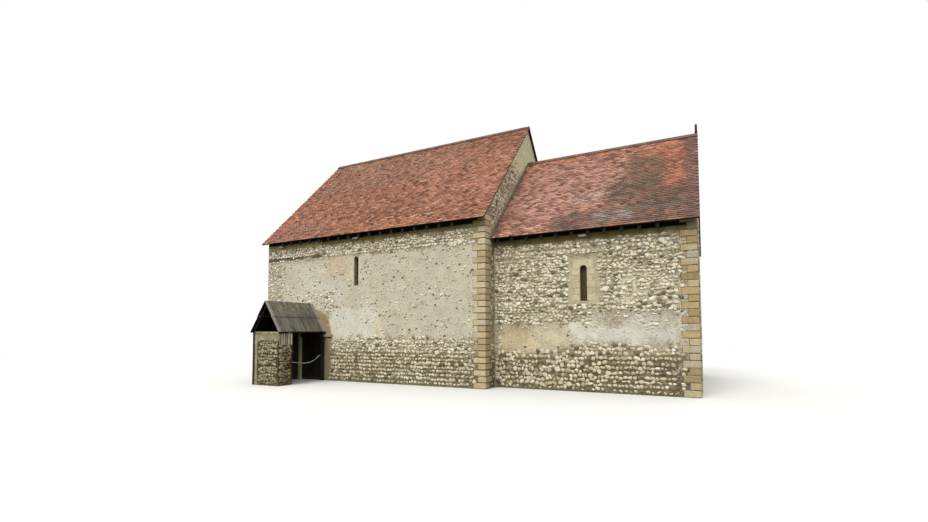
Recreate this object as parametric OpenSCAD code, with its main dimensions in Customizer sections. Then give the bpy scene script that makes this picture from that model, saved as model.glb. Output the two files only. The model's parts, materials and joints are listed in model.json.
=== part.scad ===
// Small flint chapel: nave, lower chancel and a timber porch over the south door.
// X runs east along the ridge, Y north, Z up. South, where the porch stands, is -Y.
// Lengths are laid out from the nave's west face and the centre line, then moved so
// that the origin is at the centre of the whole footprint, on the ground.

/* [Nave] */
// Outside length of the nave
nave_l = 10000; // [8500:50:12000]
// Outside width of the nave
nave_w = 8000; // [7400:20:9000]
// Thickness of the nave walls
nave_wall_t = 850; // [750:10:950]
// Height of the tile surface above the nave's side wall face
nave_eave_z = 5750; // [5500:10:6400]
// Height of the nave ridge, at the tile surface
nave_ridge_z = 10060; // [9600:10:10600]

/* [Chancel] */
// Length of the chancel beyond the nave
chancel_l = 6110; // [5200:10:7500]
// Outside width of the chancel
chancel_w = 6680; // [6100:10:6900]
// Thickness of the chancel walls
chancel_wall_t = 750; // [650:10:820]
// Height of the tile surface above the chancel's side wall face
chancel_eave_z = 5160; // [4900:10:5400]
// Height of the chancel ridge, at the tile surface
chancel_ridge_z = 8560; // [8200:10:8900]

/* [Chancel arch] */
// Clear width of the arch between nave and chancel
arch_w = 2600; // [2200:10:3000]
// Height at which the arch springs
arch_spring_z = 2500; // [2200:10:2800]
// Depth of the arch stones on the face
arch_ring_t = 320; // [240:10:400]

/* [Roof covering] */
// Thickness of the tiles with their battens, square to the slope
tile_t = 70; // [50:1:95]
// Height of one course of tiles up the slope
tile_gauge = 100; // [90:1:130]
// Step from one course down to the next
tile_step = 12; // [8:1:18]
// How far the tiles reach past the side walls
eave_overhang = 300; // [220:5:380]
// How far the tiles reach past the gable walls
verge_overhang = 80; // [50:5:120]
// Length of one ridge tile
ridge_tile_l = 450; // [300:10:600]
// Reach of a ridge tile down each slope
ridge_tile_leg = 170; // [120:5:220]
// Thickness of a ridge tile
ridge_tile_t = 18; // [14:1:26]

/* [Roof timbers] */
// Depth of a rafter, square to the slope
rafter_d = 120; // [95:5:140]
// Width of a rafter
rafter_w = 100; // [80:5:130]
// Distance between rafter couples
rafter_pitch = 480; // [400:10:600]
// Length of the level seat cut in a rafter where it sits on the plate
rafter_seat = 80; // [50:5:100]
// Distance from the wall face in to the wall plate
plate_inset = 120; // [110:5:160]
// Width of a wall plate
plate_w = 150; // [120:5:180]
// Height of a wall plate
plate_h = 100; // [85:5:130]
// Height of a tie beam
tie_h = 260; // [200:10:300]
// Width of a tie beam
tie_w = 220; // [180:10:260]
// Height of a collar
collar_h = 130; // [100:10:160]

/* [Windows] */
// Width of a slit window
slit_w = 210; // [160:5:260]
// Height of a slit window to the top of its round head
slit_h = 1080; // [900:10:1200]
// Depth from the outside face to the widening of the reveal
slit_depth = 160; // [120:5:200]
// Width of the reveal at the inside face
slit_inner_w = 780; // [600:10:900]
// Fall of the inner sill
slit_sill_drop = 260; // [150:10:350]
// Thickness of the glass
glass_t = 8; // [4:1:12]
// Centre of the nave's slit windows from the west face
nave_slit_x = 4705; // [4400:5:5200]
// Height of the nave's window sills
nave_slit_z = 3530; // [3100:10:3700]
// Centre of the chancel's slit windows from the nave's east face
chancel_slit_x = 2970; // [2500:10:3400]
// Height of the chancel's window sills
chancel_slit_z = 2720; // [2400:10:3000]
// Width of the dressed stones beside a window
dressing_w = 250; // [180:5:300]
// Depth of the dressed stones into the wall
dressing_t = 200; // [165:5:260]

/* [Quoins] */
// Height of one course of corner stones
quoin_h = 200; // [160:5:240]
// Length of the long end of a corner stone
quoin_long = 450; // [380:10:520]
// Length of the short end of a corner stone
quoin_short = 280; // [220:10:340]

/* [Doorway] */
// Centre of the doorway and the porch from the west face
door_x = 2540; // [2300:10:2900]
// Clear width between the jambs
door_w = 1000; // [850:10:1100]
// Height at which the doorway's round head springs
door_spring_z = 1740; // [1640:10:1850]
// Width of the jamb stones and depth of the arch stones
jamb_w = 460; // [400:10:480]
// Depth of the jamb stones into the wall
jamb_t = 300; // [260:10:340]
// Height of an impost
impost_h = 100; // [70:5:130]
// Projection of an impost from the wall face
impost_out = 70; // [40:5:100]
// Overlap of the door leaf behind the jambs
door_lap = 50; // [35:5:60]
// Thickness of the door boards
door_t = 45; // [35:1:55]
// Widening of the reveal on each side, inside
door_splay = 200; // [150:10:240]
// Height of the inner lintel's underside
lintel_z = 2410; // [2400:5:2500]
// Height of the inner lintel
lintel_h = 160; // [130:10:200]

/* [Floor] */
// Height of the nave floor
nave_floor_z = 100; // [60:5:110]
// Height of the chancel floor
chancel_floor_z = 220; // [180:5:280]
// Height of the door's threshold stone
threshold_z = 120; // [112:1:150]

/* [Porch] */
// How far the porch roof stands out from the nave wall
porch_l = 2120; // [1900:10:2400]
// Width of the porch over its walls
porch_w = 1280; // [1220:10:1500]
// Reach of the porch roof past its walls, at the sides and the front
porch_overhang = 70; // [50:5:100]
// Height of the porch eaves, at the top edge of the boards
porch_eave_z = 1895; // [1870:5:2000]
// Height of the porch ridge, at the boards
porch_ridge_z = 2926; // [2800:10:3050]
// Thickness of a roof board
porch_board_t = 22; // [16:1:28]
// Width of a board
porch_board_w = 150; // [120:5:180]
// Gap between boards
board_gap = 3; // [2:1:6]
// Side of a porch post
porch_post = 100; // [80:5:120]
// Height of the porch's plates
porch_plate_h = 90; // [70:5:110]
// Thickness of the porch's flint wall
porch_wall_t = 250; // [200:10:300]
// Length of the flint wall's return along the east side
porch_return_l = 560; // [450:10:640]
// Height of the flint wall between the plates
porch_wall_z = 1850; // [1800:5:1950]

/* [Small parts] */
// Diameter of the barrier rope
rope_d = 26; // [20:1:32]
// Length of an eave lamp
lamp_l = 260; // [200:10:320]
// Height of the finial on the chancel ridge
finial_h = 310; // [250:10:400]

/* [Hidden] */
$fn = 48;

// Half widths, inner faces and pitches
nave_half = nave_w / 2;
chancel_half = chancel_w / 2;
nave_in = nave_half - nave_wall_t;
chancel_in = chancel_half - chancel_wall_t;
total_l = nave_l + chancel_l;
nave_pitch = atan2(nave_ridge_z - nave_eave_z, nave_half);
chancel_pitch = atan2(chancel_ridge_z - chancel_eave_z, chancel_half);

// Clearances
seat = 0.3;        // round a pane, between arch stones, under tiles and roof boards
bed = 5;           // between a timber and the masonry or tiles that it only passes
run = 5;           // between the door leaf and what it moves past

// The slopes: [half width, tile height at the wall face, pitch]
nave_slope = [nave_half, nave_eave_z, nave_pitch];
chancel_slope = [chancel_half, chancel_eave_z, chancel_pitch];
porch_half = porch_w / 2;
porch_roof_half = porch_half + porch_overhang;
porch_pitch = atan2(porch_ridge_z - porch_eave_z, porch_roof_half);
porch_face_z = porch_eave_z + porch_overhang * tan(porch_pitch);
porch_slope = [porch_half, porch_face_z, porch_pitch];

// Height of a plane that lies a depth below a slope's surface, at a distance from the middle
function slope_z(s, y, depth) = s[1] + (s[0] - y) * tan(s[2]) - depth / cos(s[2]);
// Distance from the middle at which such a plane has a given height
function slope_y(s, z, depth) = s[0] - (z + depth / cos(s[2]) - s[1]) / tan(s[2]);

under_tiles = tile_t + seat;
rafter_low = tile_t + rafter_d;
function plate_out(s) = s[0] - plate_inset;
function plate_top(s) = slope_z(s, plate_out(s) - rafter_seat, rafter_low);
function wall_top(s) = plate_top(s) - plate_h;

// Doorway
door_r = door_w / 2;
frame_r = door_r + jamb_w;
leaf_r = door_r + door_lap;
south_y = -nave_half;
leaf_y = south_y + jamb_t + run;
leaf_z = threshold_z + run + 3;
strap_t = 8;
eye_r = 18;
pin_r = 8;
pin_gap = 0.3;
pin_off = strap_t + 10;
axis_x = door_x - leaf_r - eye_r;
axis_y = leaf_y + door_t + pin_off;
reveal_gap = eye_r + 7;
reveal_x = door_x - (axis_x - reveal_gap);
reveal_straight = door_t + pin_off + run + eye_r + 14;
strap_rise = 430;
strap_fall = 240;
strap_zs = [threshold_z + strap_rise, door_spring_z - strap_fall];
strap_h = 50;

// Porch
porch_y0 = south_y - porch_l;
porch_front_y = porch_y0 + porch_overhang;
porch_rafter_d = 60;
under_boards = 2 * porch_board_t + seat;
porch_low = 2 * porch_board_t + porch_rafter_d;
porch_seat = 50;
porch_plate_top = slope_z(porch_slope, porch_half - porch_seat, porch_low);
porch_plate_z = porch_plate_top - porch_plate_h;
porch_return_y = porch_front_y + porch_return_l;

// The rope's pegs, and its route from the flint wall to the rear post
peg_x = door_x + porch_half - 60;
peg_l = 55;
rope_z0 = 760;
rope_z1 = 950;
rope_y0 = porch_return_y + peg_l;
rope_y1 = south_y - porch_post - peg_l;

// Moves the building so that the origin is at the centre of the footprint
site_x = -total_l / 2;
site_y = -(nave_half + eave_overhang + porch_y0) / 2;

stone = [0.80, 0.72, 0.54];
flint = [0.72, 0.70, 0.63];
oak = [0.36, 0.28, 0.20];
tar = [0.10, 0.09, 0.08];
clay = [0.58, 0.33, 0.26];
board = [0.42, 0.40, 0.36];
iron = [0.16, 0.15, 0.15];

module in_place() { translate([site_x, site_y, 0]) children(); }

// Extrudes a (Y, Z) outline along X, and an (X, Z) outline along Y
module along_x(x0, x1) { translate([x0, 0, 0]) rotate([90, 0, 90]) linear_extrude(x1 - x0) children(); }
module along_y(y0, y1) { translate([0, y1, 0]) rotate([90, 0, 0]) linear_extrude(y1 - y0) children(); }
module block(x0, y0, z0, x1, y1, z1) { translate([x0, y0, z0]) cube([x1 - x0, y1 - y0, z1 - z0]); }
// A shape and its mirror image across the centre line
module both_sides() { children(); mirror([0, 1, 0]) children(); }

// Outline of a side wall on the north, with its top bevelled under the rafters
module side_wall_outline(s, wall_t) {
  face_top = slope_z(s, s[0], rafter_low) - bed;
  bevel_y = s[0] - (wall_top(s) - face_top) / tan(s[2]);
  polygon([[s[0] - wall_t, 0], [s[0], 0], [s[0], face_top], [bevel_y, wall_top(s)],
           [s[0] - wall_t, wall_top(s)]]);
}
module north_wall(s, wall_t, x0, x1) { along_x(x0, x1) side_wall_outline(s, wall_t); }
module south_wall(s, wall_t, x0, x1) { mirror([0, 1, 0]) north_wall(s, wall_t, x0, x1); }

// Outline of a gable wall up to the underside of the tiles
module gable_outline(s) {
  polygon([[-s[0], 0], [s[0], 0], [s[0], slope_z(s, s[0], under_tiles)],
           [0, slope_z(s, 0, under_tiles)], [-s[0], slope_z(s, s[0], under_tiles)]]);
}

// A slit window's outline, standing on its sill, narrowed by a clearance
module slit_outline(c = 0) {
  r = slit_w / 2 - c;
  translate([-r, c]) square([2 * r, slit_h - slit_w / 2 - c]);
  translate([0, slit_h - slit_w / 2]) circle(r);
}
// The cut for a slit window through a wall whose outside face is at Y = 0, looking along +Y
module slit_cut(wall_t) {
  spring = slit_h - slit_w / 2;
  splay_l = wall_t - slit_depth;
  along_y(-1, slit_depth + 1) slit_outline();
  translate([0, slit_depth, spring]) rotate([-90, 0, 0])
    cylinder(h = splay_l, r1 = slit_w / 2, r2 = slit_inner_w / 2);
  intersection() {
    linear_extrude(2 * slit_h, center = true) polygon([
      [-slit_w / 2, slit_depth], [slit_w / 2, slit_depth],
      [slit_inner_w / 2, wall_t + 0.01], [-slit_inner_w / 2, wall_t + 0.01]]);
    along_x(-slit_inner_w, slit_inner_w) polygon([
      [slit_depth, 0], [wall_t + 1, -slit_sill_drop], [wall_t + 1, spring], [slit_depth, spring]]);
  }
}
// Places a shape made for a wall facing south at Y = 0 on each wall that has a window
module on_south(x, y, z) { translate([x, -y, z]) children(); }
module on_north(x, y, z) { translate([x, y, z]) rotate([0, 0, 180]) children(); }
module on_west(x, z) { translate([x, 0, z]) rotate([0, 0, -90]) children(); }
module on_east(x, z) { translate([x, 0, z]) rotate([0, 0, 90]) children(); }

// Dressed stones round a chancel window: long and short stones and a head stone
dressing_stones = 5;
module dressing_outline() {
  stone_h = (slit_h - slit_w / 2) / dressing_stones;
  for (i = [0 : dressing_stones - 1]) {
    reach = slit_w / 2 + dressing_w - (i % 2) * dressing_w / 3;
    translate([-reach, i * stone_h]) square([2 * reach, stone_h]);
  }
  reach = slit_w / 2 + dressing_w * 0.8;
  translate([-reach, slit_h - slit_w / 2]) square([2 * reach, slit_w / 2 + dressing_w * 0.7]);
}
module dressing_block() { along_y(0, dressing_t) dressing_outline(); }
module dressing() {
  difference() {
    dressing_block();
    along_y(-1, dressing_t + 1) slit_outline();
    slit_cut(chancel_wall_t);
  }
}

// One column of corner stones, its corner at the origin, reaching along -X and +Y
module quoin_column(top_z) {
  for (i = [0 : floor(top_z / quoin_h) - 1]) {
    along = i % 2 == 0 ? quoin_long : quoin_short;
    across = i % 2 == 0 ? quoin_short : quoin_long;
    translate([-along, 0, i * quoin_h]) cube([along, across, quoin_h]);
  }
}
module nave_corner(side) {
  translate([nave_l, side * nave_half, 0]) mirror([0, side > 0 ? 1 : 0, 0])
    quoin_column(slope_z(nave_slope, nave_half, under_tiles));
}
module chancel_corner(side) {
  translate([total_l, side * chancel_half, 0]) mirror([0, side > 0 ? 1 : 0, 0])
    quoin_column(slope_z(chancel_slope, chancel_half, under_tiles));
}

// Outline in plan of the reveal behind the jambs, reaching 1 mm into the nave
module reveal_outline() {
  straight_y = south_y + jamb_t + reveal_straight;
  inner = reveal_x + door_splay;
  translate([door_x, 0]) polygon([
    [-reveal_x, south_y + jamb_t], [reveal_x, south_y + jamb_t], [reveal_x, straight_y],
    [inner, -nave_in], [inner, -nave_in + 1], [-inner, -nave_in + 1], [-inner, -nave_in],
    [-reveal_x, straight_y]]);
}
module reveal_cut() { translate([0, 0, -1]) linear_extrude(lintel_z + 1) reveal_outline(); }
// The space that the jambs, the arch and what stands over them take in the outer wall
module doorway_front() {
  block(door_x - frame_r, south_y - 1, -1, door_x + frame_r, south_y + jamb_t, door_spring_z);
}

module nave_south_wall_west() {
  color(flint) in_place() difference() {
    south_wall(nave_slope, nave_wall_t, nave_wall_t, door_x);
    doorway_front();
    reveal_cut();
    block(door_x - frame_r, south_y - 1, door_spring_z, door_x + 1, south_y + jamb_t, nave_ridge_z);
    block(door_x - frame_r, south_y, lintel_z, door_x + 1, -nave_in + 1, nave_ridge_z);
  }
}

module nave_south_wall_east() {
  color(flint) in_place() difference() {
    south_wall(nave_slope, nave_wall_t, door_x, nave_l - nave_wall_t);
    doorway_front();
    reveal_cut();
    block(door_x - 1, south_y - 1, door_spring_z, door_x + frame_r, south_y + jamb_t, nave_ridge_z);
    block(door_x - 1, south_y, lintel_z, door_x + frame_r, -nave_in + 1, nave_ridge_z);
    on_south(nave_slit_x, nave_half, nave_slit_z) slit_cut(nave_wall_t);
  }
}

module nave_south_wall_over_door() {
  color(flint) in_place() difference() {
    south_wall(nave_slope, nave_wall_t, door_x - frame_r, door_x + frame_r);
    translate([0, 0, -1]) block(0, south_y - 1, 0, nave_l, south_y + jamb_t, door_spring_z + 1);
    block(0, south_y + jamb_t, -1, nave_l, 0, lintel_z + lintel_h);
    translate([door_x, south_y - 1, door_spring_z]) rotate([-90, 0, 0])
      cylinder(h = jamb_t + 1, r = frame_r, $fn = 96);
  }
}

module nave_north_wall() {
  color(flint) in_place() difference() {
    north_wall(nave_slope, nave_wall_t, nave_wall_t, nave_l - nave_wall_t);
    on_north(nave_slit_x, nave_half, nave_slit_z) slit_cut(nave_wall_t);
  }
}

module nave_west_wall() {
  color(flint) in_place() difference() {
    along_x(0, nave_wall_t) gable_outline(nave_slope);
    on_west(0, nave_slit_z) slit_cut(nave_wall_t);
  }
}

// The chancel arch stands in the nave's east wall: piers beside it, the gable over it
arch_r = arch_w / 2;
arch_out = arch_r + arch_ring_t;
arch_top_z = arch_spring_z + arch_out;
crown_slot = 20;
// Fine joints fan out from the arch's centre, so that each block of the wall is nearly convex
arch_wall_joints = [0, 30, 60];
module arch_wall_cuts() {
  both_sides() translate([nave_l - nave_wall_t - 1, 0, arch_spring_z])
    for (a = arch_wall_joints) rotate([a, 0, 0])
      block(0, 0, -seat / 2, nave_wall_t + 2, nave_w, seat / 2);
}
module nave_east_wall_piers() {
  color(flint) in_place() difference() {
    block(nave_l - nave_wall_t, -nave_half, 0, nave_l, nave_half, arch_top_z);
    block(nave_l - nave_wall_t - 1, -arch_out, -1, nave_l + 1, arch_out, arch_spring_z);
    translate([nave_l - nave_wall_t - 1, 0, arch_spring_z]) rotate([0, 90, 0])
      cylinder(h = nave_wall_t + 2, r = arch_out, $fn = 96);
    block(nave_l - nave_wall_t - 1, -crown_slot, arch_spring_z, nave_l + 1, crown_slot, arch_top_z + 1);
    arch_wall_cuts();
    nave_corner(-1);
    nave_corner(1);
  }
}

module nave_east_gable() {
  color(flint) in_place() difference() {
    along_x(nave_l - nave_wall_t, nave_l) gable_outline(nave_slope);
    block(0, -nave_w, -1, nave_l + 1, nave_w, arch_top_z);
    nave_corner(-1);
    nave_corner(1);
  }
}

// A half ring of separate arch stones over the origin, from Y = 0 to its depth, each
// joint cut through at the seat's width and open on the face
joint_w = 6;
joint_d = 10;
module arch_stones(r_in, r_out, depth, count) {
  difference() {
    rotate([-90, 0, 0]) cylinder(h = depth, r = r_out, $fn = 96);
    translate([0, -1, 0]) rotate([-90, 0, 0]) cylinder(h = depth + 2, r = r_in, $fn = 96);
    block(-r_out - 1, -1, -r_out - 1, r_out + 1, depth + 1, 0);
    for (i = [1 : count - 1]) rotate([0, -i * 180 / count, 0]) {
      block(r_in - joint_d, -1, -joint_w / 2, r_out + 1, joint_d, joint_w / 2);
      block(r_in - joint_d, -1, -seat / 2, r_out + 1, depth + 1, seat / 2);
    }
  }
}

arch_stone_count = 15;
module chancel_arch() {
  x0 = nave_l - nave_wall_t;
  color(stone) in_place() {
    translate([x0, 0, arch_spring_z]) rotate([0, 0, -90])
      arch_stones(arch_r, arch_out, nave_wall_t, arch_stone_count);
    both_sides() {
      block(x0, arch_r, 0, nave_l, arch_out, arch_spring_z - impost_h);
      block(x0 - impost_out, arch_r - impost_out, arch_spring_z - impost_h,
            nave_l, arch_out, arch_spring_z);
    }
  }
}

module nave_quoins() { color(stone) in_place() { nave_corner(-1); nave_corner(1); } }
module chancel_quoins() { color(stone) in_place() { chancel_corner(-1); chancel_corner(1); } }

module window_space() {
  slit_cut(chancel_wall_t);
  translate([0, -1, 0]) along_y(0, dressing_t + 1) dressing_outline();
}
module chancel_side_wall(side) {
  window_x = nave_l + chancel_slit_x;
  difference() {
    mirror([0, side < 0 ? 1 : 0, 0])
      north_wall(chancel_slope, chancel_wall_t, nave_l, total_l - chancel_wall_t);
    if (side < 0) on_south(window_x, chancel_half, chancel_slit_z) window_space();
    else on_north(window_x, chancel_half, chancel_slit_z) window_space();
  }
}
module chancel_south_wall() { color(flint) in_place() chancel_side_wall(-1); }
module chancel_north_wall() { color(flint) in_place() chancel_side_wall(1); }

module chancel_east_wall() {
  color(flint) in_place() difference() {
    along_x(total_l - chancel_wall_t, total_l) gable_outline(chancel_slope);
    on_east(total_l, chancel_slit_z) window_space();
    chancel_corner(-1);
    chancel_corner(1);
  }
}

module window_dressings() {
  color(stone) in_place() {
    on_south(nave_l + chancel_slit_x, chancel_half, chancel_slit_z) dressing();
    on_north(nave_l + chancel_slit_x, chancel_half, chancel_slit_z) dressing();
    on_east(total_l, chancel_slit_z) dressing();
  }
}

module pane() { along_y(slit_depth - 2 * glass_t, slit_depth - glass_t) slit_outline(seat); }
module window_glazing() {
  color([0.10, 0.12, 0.13]) in_place() {
    on_south(nave_slit_x, nave_half, nave_slit_z) pane();
    on_north(nave_slit_x, nave_half, nave_slit_z) pane();
    on_west(0, nave_slit_z) pane();
    on_south(nave_l + chancel_slit_x, chancel_half, chancel_slit_z) pane();
    on_north(nave_l + chancel_slit_x, chancel_half, chancel_slit_z) pane();
    on_east(total_l, chancel_slit_z) pane();
  }
}

// Doorway: jambs of cut stones under imposts, and a ring of arch stones
jamb_courses = 7;
module jamb() {
  top = door_spring_z - impost_h;
  course = top / jamb_courses;
  difference() {
    block(door_r, 0, 0, frame_r, jamb_t, top);
    for (i = [1 : jamb_courses - 1])
      block(door_r - 1, -1, i * course - joint_w / 2, frame_r + 1, joint_d, i * course + joint_w / 2);
  }
  block(door_r - impost_out / 2, -impost_out, top, frame_r, jamb_t, door_spring_z);
  block(frame_r, -impost_out, top, frame_r + impost_out, 0, door_spring_z);
}
module doorway_jambs() {
  color(stone) in_place() translate([door_x, south_y, 0]) {
    jamb();
    mirror([1, 0, 0]) jamb();
  }
}

door_stone_count = 11;
module doorway_arch() {
  color(stone) in_place() translate([door_x, south_y, door_spring_z])
    arch_stones(door_r, frame_r, jamb_t, door_stone_count);
}

module doorway_lintel() {
  color(oak) in_place()
    block(door_x - frame_r, south_y + jamb_t, lintel_z, door_x + frame_r, -nave_in, lintel_z + lintel_h);
}

module stone_floors() {
  color([0.55, 0.52, 0.46]) in_place() {
    block(nave_wall_t, -nave_in, 0, nave_l - nave_wall_t, nave_in, nave_floor_z);
    block(nave_l, -chancel_in, 0, total_l - chancel_wall_t, chancel_in, chancel_floor_z);
    block(nave_l - nave_wall_t, -arch_r, 0, nave_l, arch_r, chancel_floor_z);
    block(door_x - door_r, south_y, 0, door_x + door_r, south_y + jamb_t, threshold_z);
    linear_extrude(nave_floor_z) reveal_outline();
  }
}

// Roof timbers, for a roof between two gable walls
function couples(x0, x1) = max(2, round((x1 - x0) / rafter_pitch));
function couple_x(x0, x1, i) = x0 + (i + 0.5) * (x1 - x0) / couples(x0, x1);

module wall_plates(s, x0, x1) {
  both_sides() block(x0, plate_out(s) - plate_w, wall_top(s), x1, plate_out(s), plate_top(s));
}
module tie_beams(s, x0, x1, count) {
  low = tile_t + bed;
  bottom = plate_top(s);
  top = bottom + tie_h;
  for (i = [1 : count]) {
    bay = round(i * couples(x0, x1) / (count + 1));
    x = x0 + bay * (x1 - x0) / couples(x0, x1);
    along_x(x - tie_w / 2, x + tie_w / 2) polygon([
      [-plate_out(s), bottom], [plate_out(s), bottom], [plate_out(s), slope_z(s, plate_out(s), low)],
      [slope_y(s, top, low), top], [-slope_y(s, top, low), top],
      [-plate_out(s), slope_z(s, plate_out(s), low)]]);
  }
}
module rafter_outline(s) {
  foot = s[0] + eave_overhang - tile_t;
  polygon([[0, slope_z(s, 0, under_tiles)], [0, slope_z(s, 0, rafter_low)],
           [plate_out(s) - rafter_seat, plate_top(s)], [plate_out(s), plate_top(s)],
           [plate_out(s), slope_z(s, plate_out(s), rafter_low)],
           [foot, slope_z(s, foot, rafter_low)], [foot, slope_z(s, foot, under_tiles)]]);
}
module rafters(s, x0, x1) {
  for (i = [0 : couples(x0, x1) - 1]) {
    x = couple_x(x0, x1, i);
    along_x(x - rafter_w / 2, x + rafter_w / 2) rafter_outline(s);
  }
}
// Collars stand a little over half way up the open roof
collar_share = 0.52;
module collars(s, x0, x1) {
  low_z = plate_top(s) + (slope_z(s, 0, rafter_low) - plate_top(s)) * collar_share;
  high_z = low_z + collar_h;
  for (i = [0 : couples(x0, x1) - 1]) {
    x = couple_x(x0, x1, i);
    along_x(x - rafter_w / 2, x + rafter_w / 2) polygon([
      [-slope_y(s, low_z, rafter_low), low_z], [slope_y(s, low_z, rafter_low), low_z],
      [slope_y(s, high_z, rafter_low), high_z], [-slope_y(s, high_z, rafter_low), high_z]]);
  }
}

// One slope of tiles on the north, each course stepping down to the next
function slope_point(s, along, depth) = [
  s[0] + eave_overhang - along * cos(s[2]) - depth * sin(s[2]),
  slope_z(s, s[0] + eave_overhang, 0) + along * sin(s[2]) - depth * cos(s[2])];
module tile_outline(s) {
  slope_l = (s[0] + eave_overhang) / cos(s[2]);
  courses = round(slope_l / tile_gauge);
  gauge = slope_l / courses;
  ridge_z = slope_z(s, 0, 0);
  polygon(concat(
    [for (i = [0 : courses - 2])
      each [slope_point(s, i * gauge, 0), slope_point(s, (i + 1) * gauge, tile_step)]],
    [slope_point(s, (courses - 1) * gauge, 0), [0, ridge_z - tile_step / cos(s[2])],
     [0, slope_z(s, 0, tile_t)], slope_point(s, 0, tile_t)]));
}
module tiles(s, x0, x1) { along_x(x0, x1) tile_outline(s); }

ridge_flat = 8;
module ridge_tile_outline(s) {
  leg = ridge_tile_leg * cos(s[2]);
  flat = ridge_flat;
  polygon([[-leg, slope_z(s, leg, 0)], [0, slope_z(s, 0, 0)], [leg, slope_z(s, leg, 0)],
           [leg, slope_z(s, leg, -ridge_tile_t)], [flat, slope_z(s, flat, -ridge_tile_t)],
           [-flat, slope_z(s, flat, -ridge_tile_t)], [-leg, slope_z(s, leg, -ridge_tile_t)]]);
}
ridge_joint = 8;
module ridge_run(s, x0, x1) {
  count = round((x1 - x0) / ridge_tile_l);
  step = (x1 - x0) / count;
  for (i = [0 : count - 1])
    along_x(x0 + i * step + ridge_joint / 2, x0 + (i + 1) * step - ridge_joint / 2)
      ridge_tile_outline(s);
}

nave_x0 = nave_wall_t;
nave_x1 = nave_l - nave_wall_t;
chancel_x0 = nave_l;
chancel_x1 = total_l - chancel_wall_t;
nave_tiles_x = [-verge_overhang, nave_l + verge_overhang];
chancel_tiles_x = [nave_l, total_l + verge_overhang];

module nave_wall_plates() { color(oak) in_place() wall_plates(nave_slope, nave_x0, nave_x1); }
module nave_tie_beams() { color(oak) in_place() tie_beams(nave_slope, nave_x0, nave_x1, 2); }
module nave_rafters_north() { color(oak) in_place() rafters(nave_slope, nave_x0, nave_x1); }
module nave_rafters_south() {
  color(oak) in_place() mirror([0, 1, 0]) rafters(nave_slope, nave_x0, nave_x1);
}
module nave_collars() { color(oak) in_place() collars(nave_slope, nave_x0, nave_x1); }
module nave_roof_north_tiles() {
  color(clay) in_place() tiles(nave_slope, nave_tiles_x[0], nave_tiles_x[1]);
}
module nave_roof_south_tiles() {
  color(clay) in_place() mirror([0, 1, 0]) tiles(nave_slope, nave_tiles_x[0], nave_tiles_x[1]);
}
module chancel_wall_plates() { color(oak) in_place() wall_plates(chancel_slope, chancel_x0, chancel_x1); }
module chancel_tie_beams() { color(oak) in_place() tie_beams(chancel_slope, chancel_x0, chancel_x1, 1); }
module chancel_rafters_north() { color(oak) in_place() rafters(chancel_slope, chancel_x0, chancel_x1); }
module chancel_rafters_south() {
  color(oak) in_place() mirror([0, 1, 0]) rafters(chancel_slope, chancel_x0, chancel_x1);
}
module chancel_collars() { color(oak) in_place() collars(chancel_slope, chancel_x0, chancel_x1); }
module chancel_roof_north_tiles() {
  color(clay) in_place() tiles(chancel_slope, chancel_tiles_x[0], chancel_tiles_x[1]);
}
module chancel_roof_south_tiles() {
  color(clay) in_place() mirror([0, 1, 0]) tiles(chancel_slope, chancel_tiles_x[0], chancel_tiles_x[1]);
}
module ridge_tiles() {
  color(clay) in_place() {
    ridge_run(nave_slope, nave_tiles_x[0], nave_tiles_x[1]);
    ridge_run(chancel_slope, chancel_tiles_x[0], chancel_tiles_x[1]);
  }
}

// Finial: a plain round stub with a collar, on the end of the last ridge tile
finial_end = 50;
finial_foot_r = 26;
finial_collar_r = 44;
finial_collar_h = 60;
finial_r = 38;
finial_edge = 14;
module chancel_finial() {
  base_z = slope_z(chancel_slope, ridge_flat, -ridge_tile_t);
  foot_h = finial_collar_r - finial_foot_r;
  color(iron) in_place() translate([chancel_tiles_x[1] - finial_end, 0, base_z])
    rotate_extrude($fn = 32) polygon([
      [0, 0], [finial_foot_r, 0], [finial_collar_r, foot_h], [finial_collar_r, finial_collar_h],
      [finial_r, finial_collar_h + finial_edge], [finial_r, finial_h - finial_edge],
      [finial_r - finial_edge, finial_h], [0, finial_h]]);
}

// Porch: an L of flint wall in front, two posts, plates, three rafter couples and boards
module porch_front_wall() {
  west = door_x - porch_half + porch_post;
  east = door_x + porch_half;
  color(flint) in_place() difference() {
    union() {
      block(west, porch_front_y, 0, east, porch_front_y + porch_wall_t, porch_wall_z);
      block(east - porch_wall_t, porch_front_y, 0, east, porch_return_y, porch_wall_z);
    }
    porch_plate_space();
  }
}
module porch_plate_space() {
  for (x = [door_x - porch_half, door_x + porch_half - porch_post])
    block(x, porch_front_y - 1, porch_plate_z, x + porch_post + 1, south_y + 1, porch_ridge_z);
}
// The imposts, with a little room, which the timbers beside them are notched round
module impost_space() {
  low = door_spring_z - impost_h - board_gap;
  high = door_spring_z + board_gap;
  for (m = [0, 1]) translate([door_x, south_y, 0]) mirror([m, 0, 0])
    block(door_r - impost_out, -impost_out - board_gap, low, frame_r + impost_out + 1, 1, high);
}
module porch_posts() {
  color(tar) in_place() difference() {
    porch_post_blocks();
    impost_space();
  }
}
module porch_post_blocks() {
  west = door_x - porch_half;
  east = door_x + porch_half;
  block(west, porch_front_y, 0, west + porch_post, porch_front_y + porch_post, porch_plate_z);
  block(west, south_y - porch_post, 0, west + porch_post, south_y, porch_plate_z);
  block(east - porch_post, south_y - porch_post, 0, east, south_y, porch_plate_z);
}
module porch_wall_plates() {
  color(tar) in_place() for (x = [door_x - porch_half, door_x + porch_half - porch_post])
    block(x, porch_front_y, porch_plate_z, x + porch_post, south_y, porch_plate_top);
}
porch_rafter_w = 60;
porch_couples = 4;
porch_rafter_step = (porch_l - porch_overhang - porch_rafter_w) / (porch_couples - 1);
porch_rafter_ys = [for (i = [0 : porch_couples - 1]) porch_front_y + i * porch_rafter_step];
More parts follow.
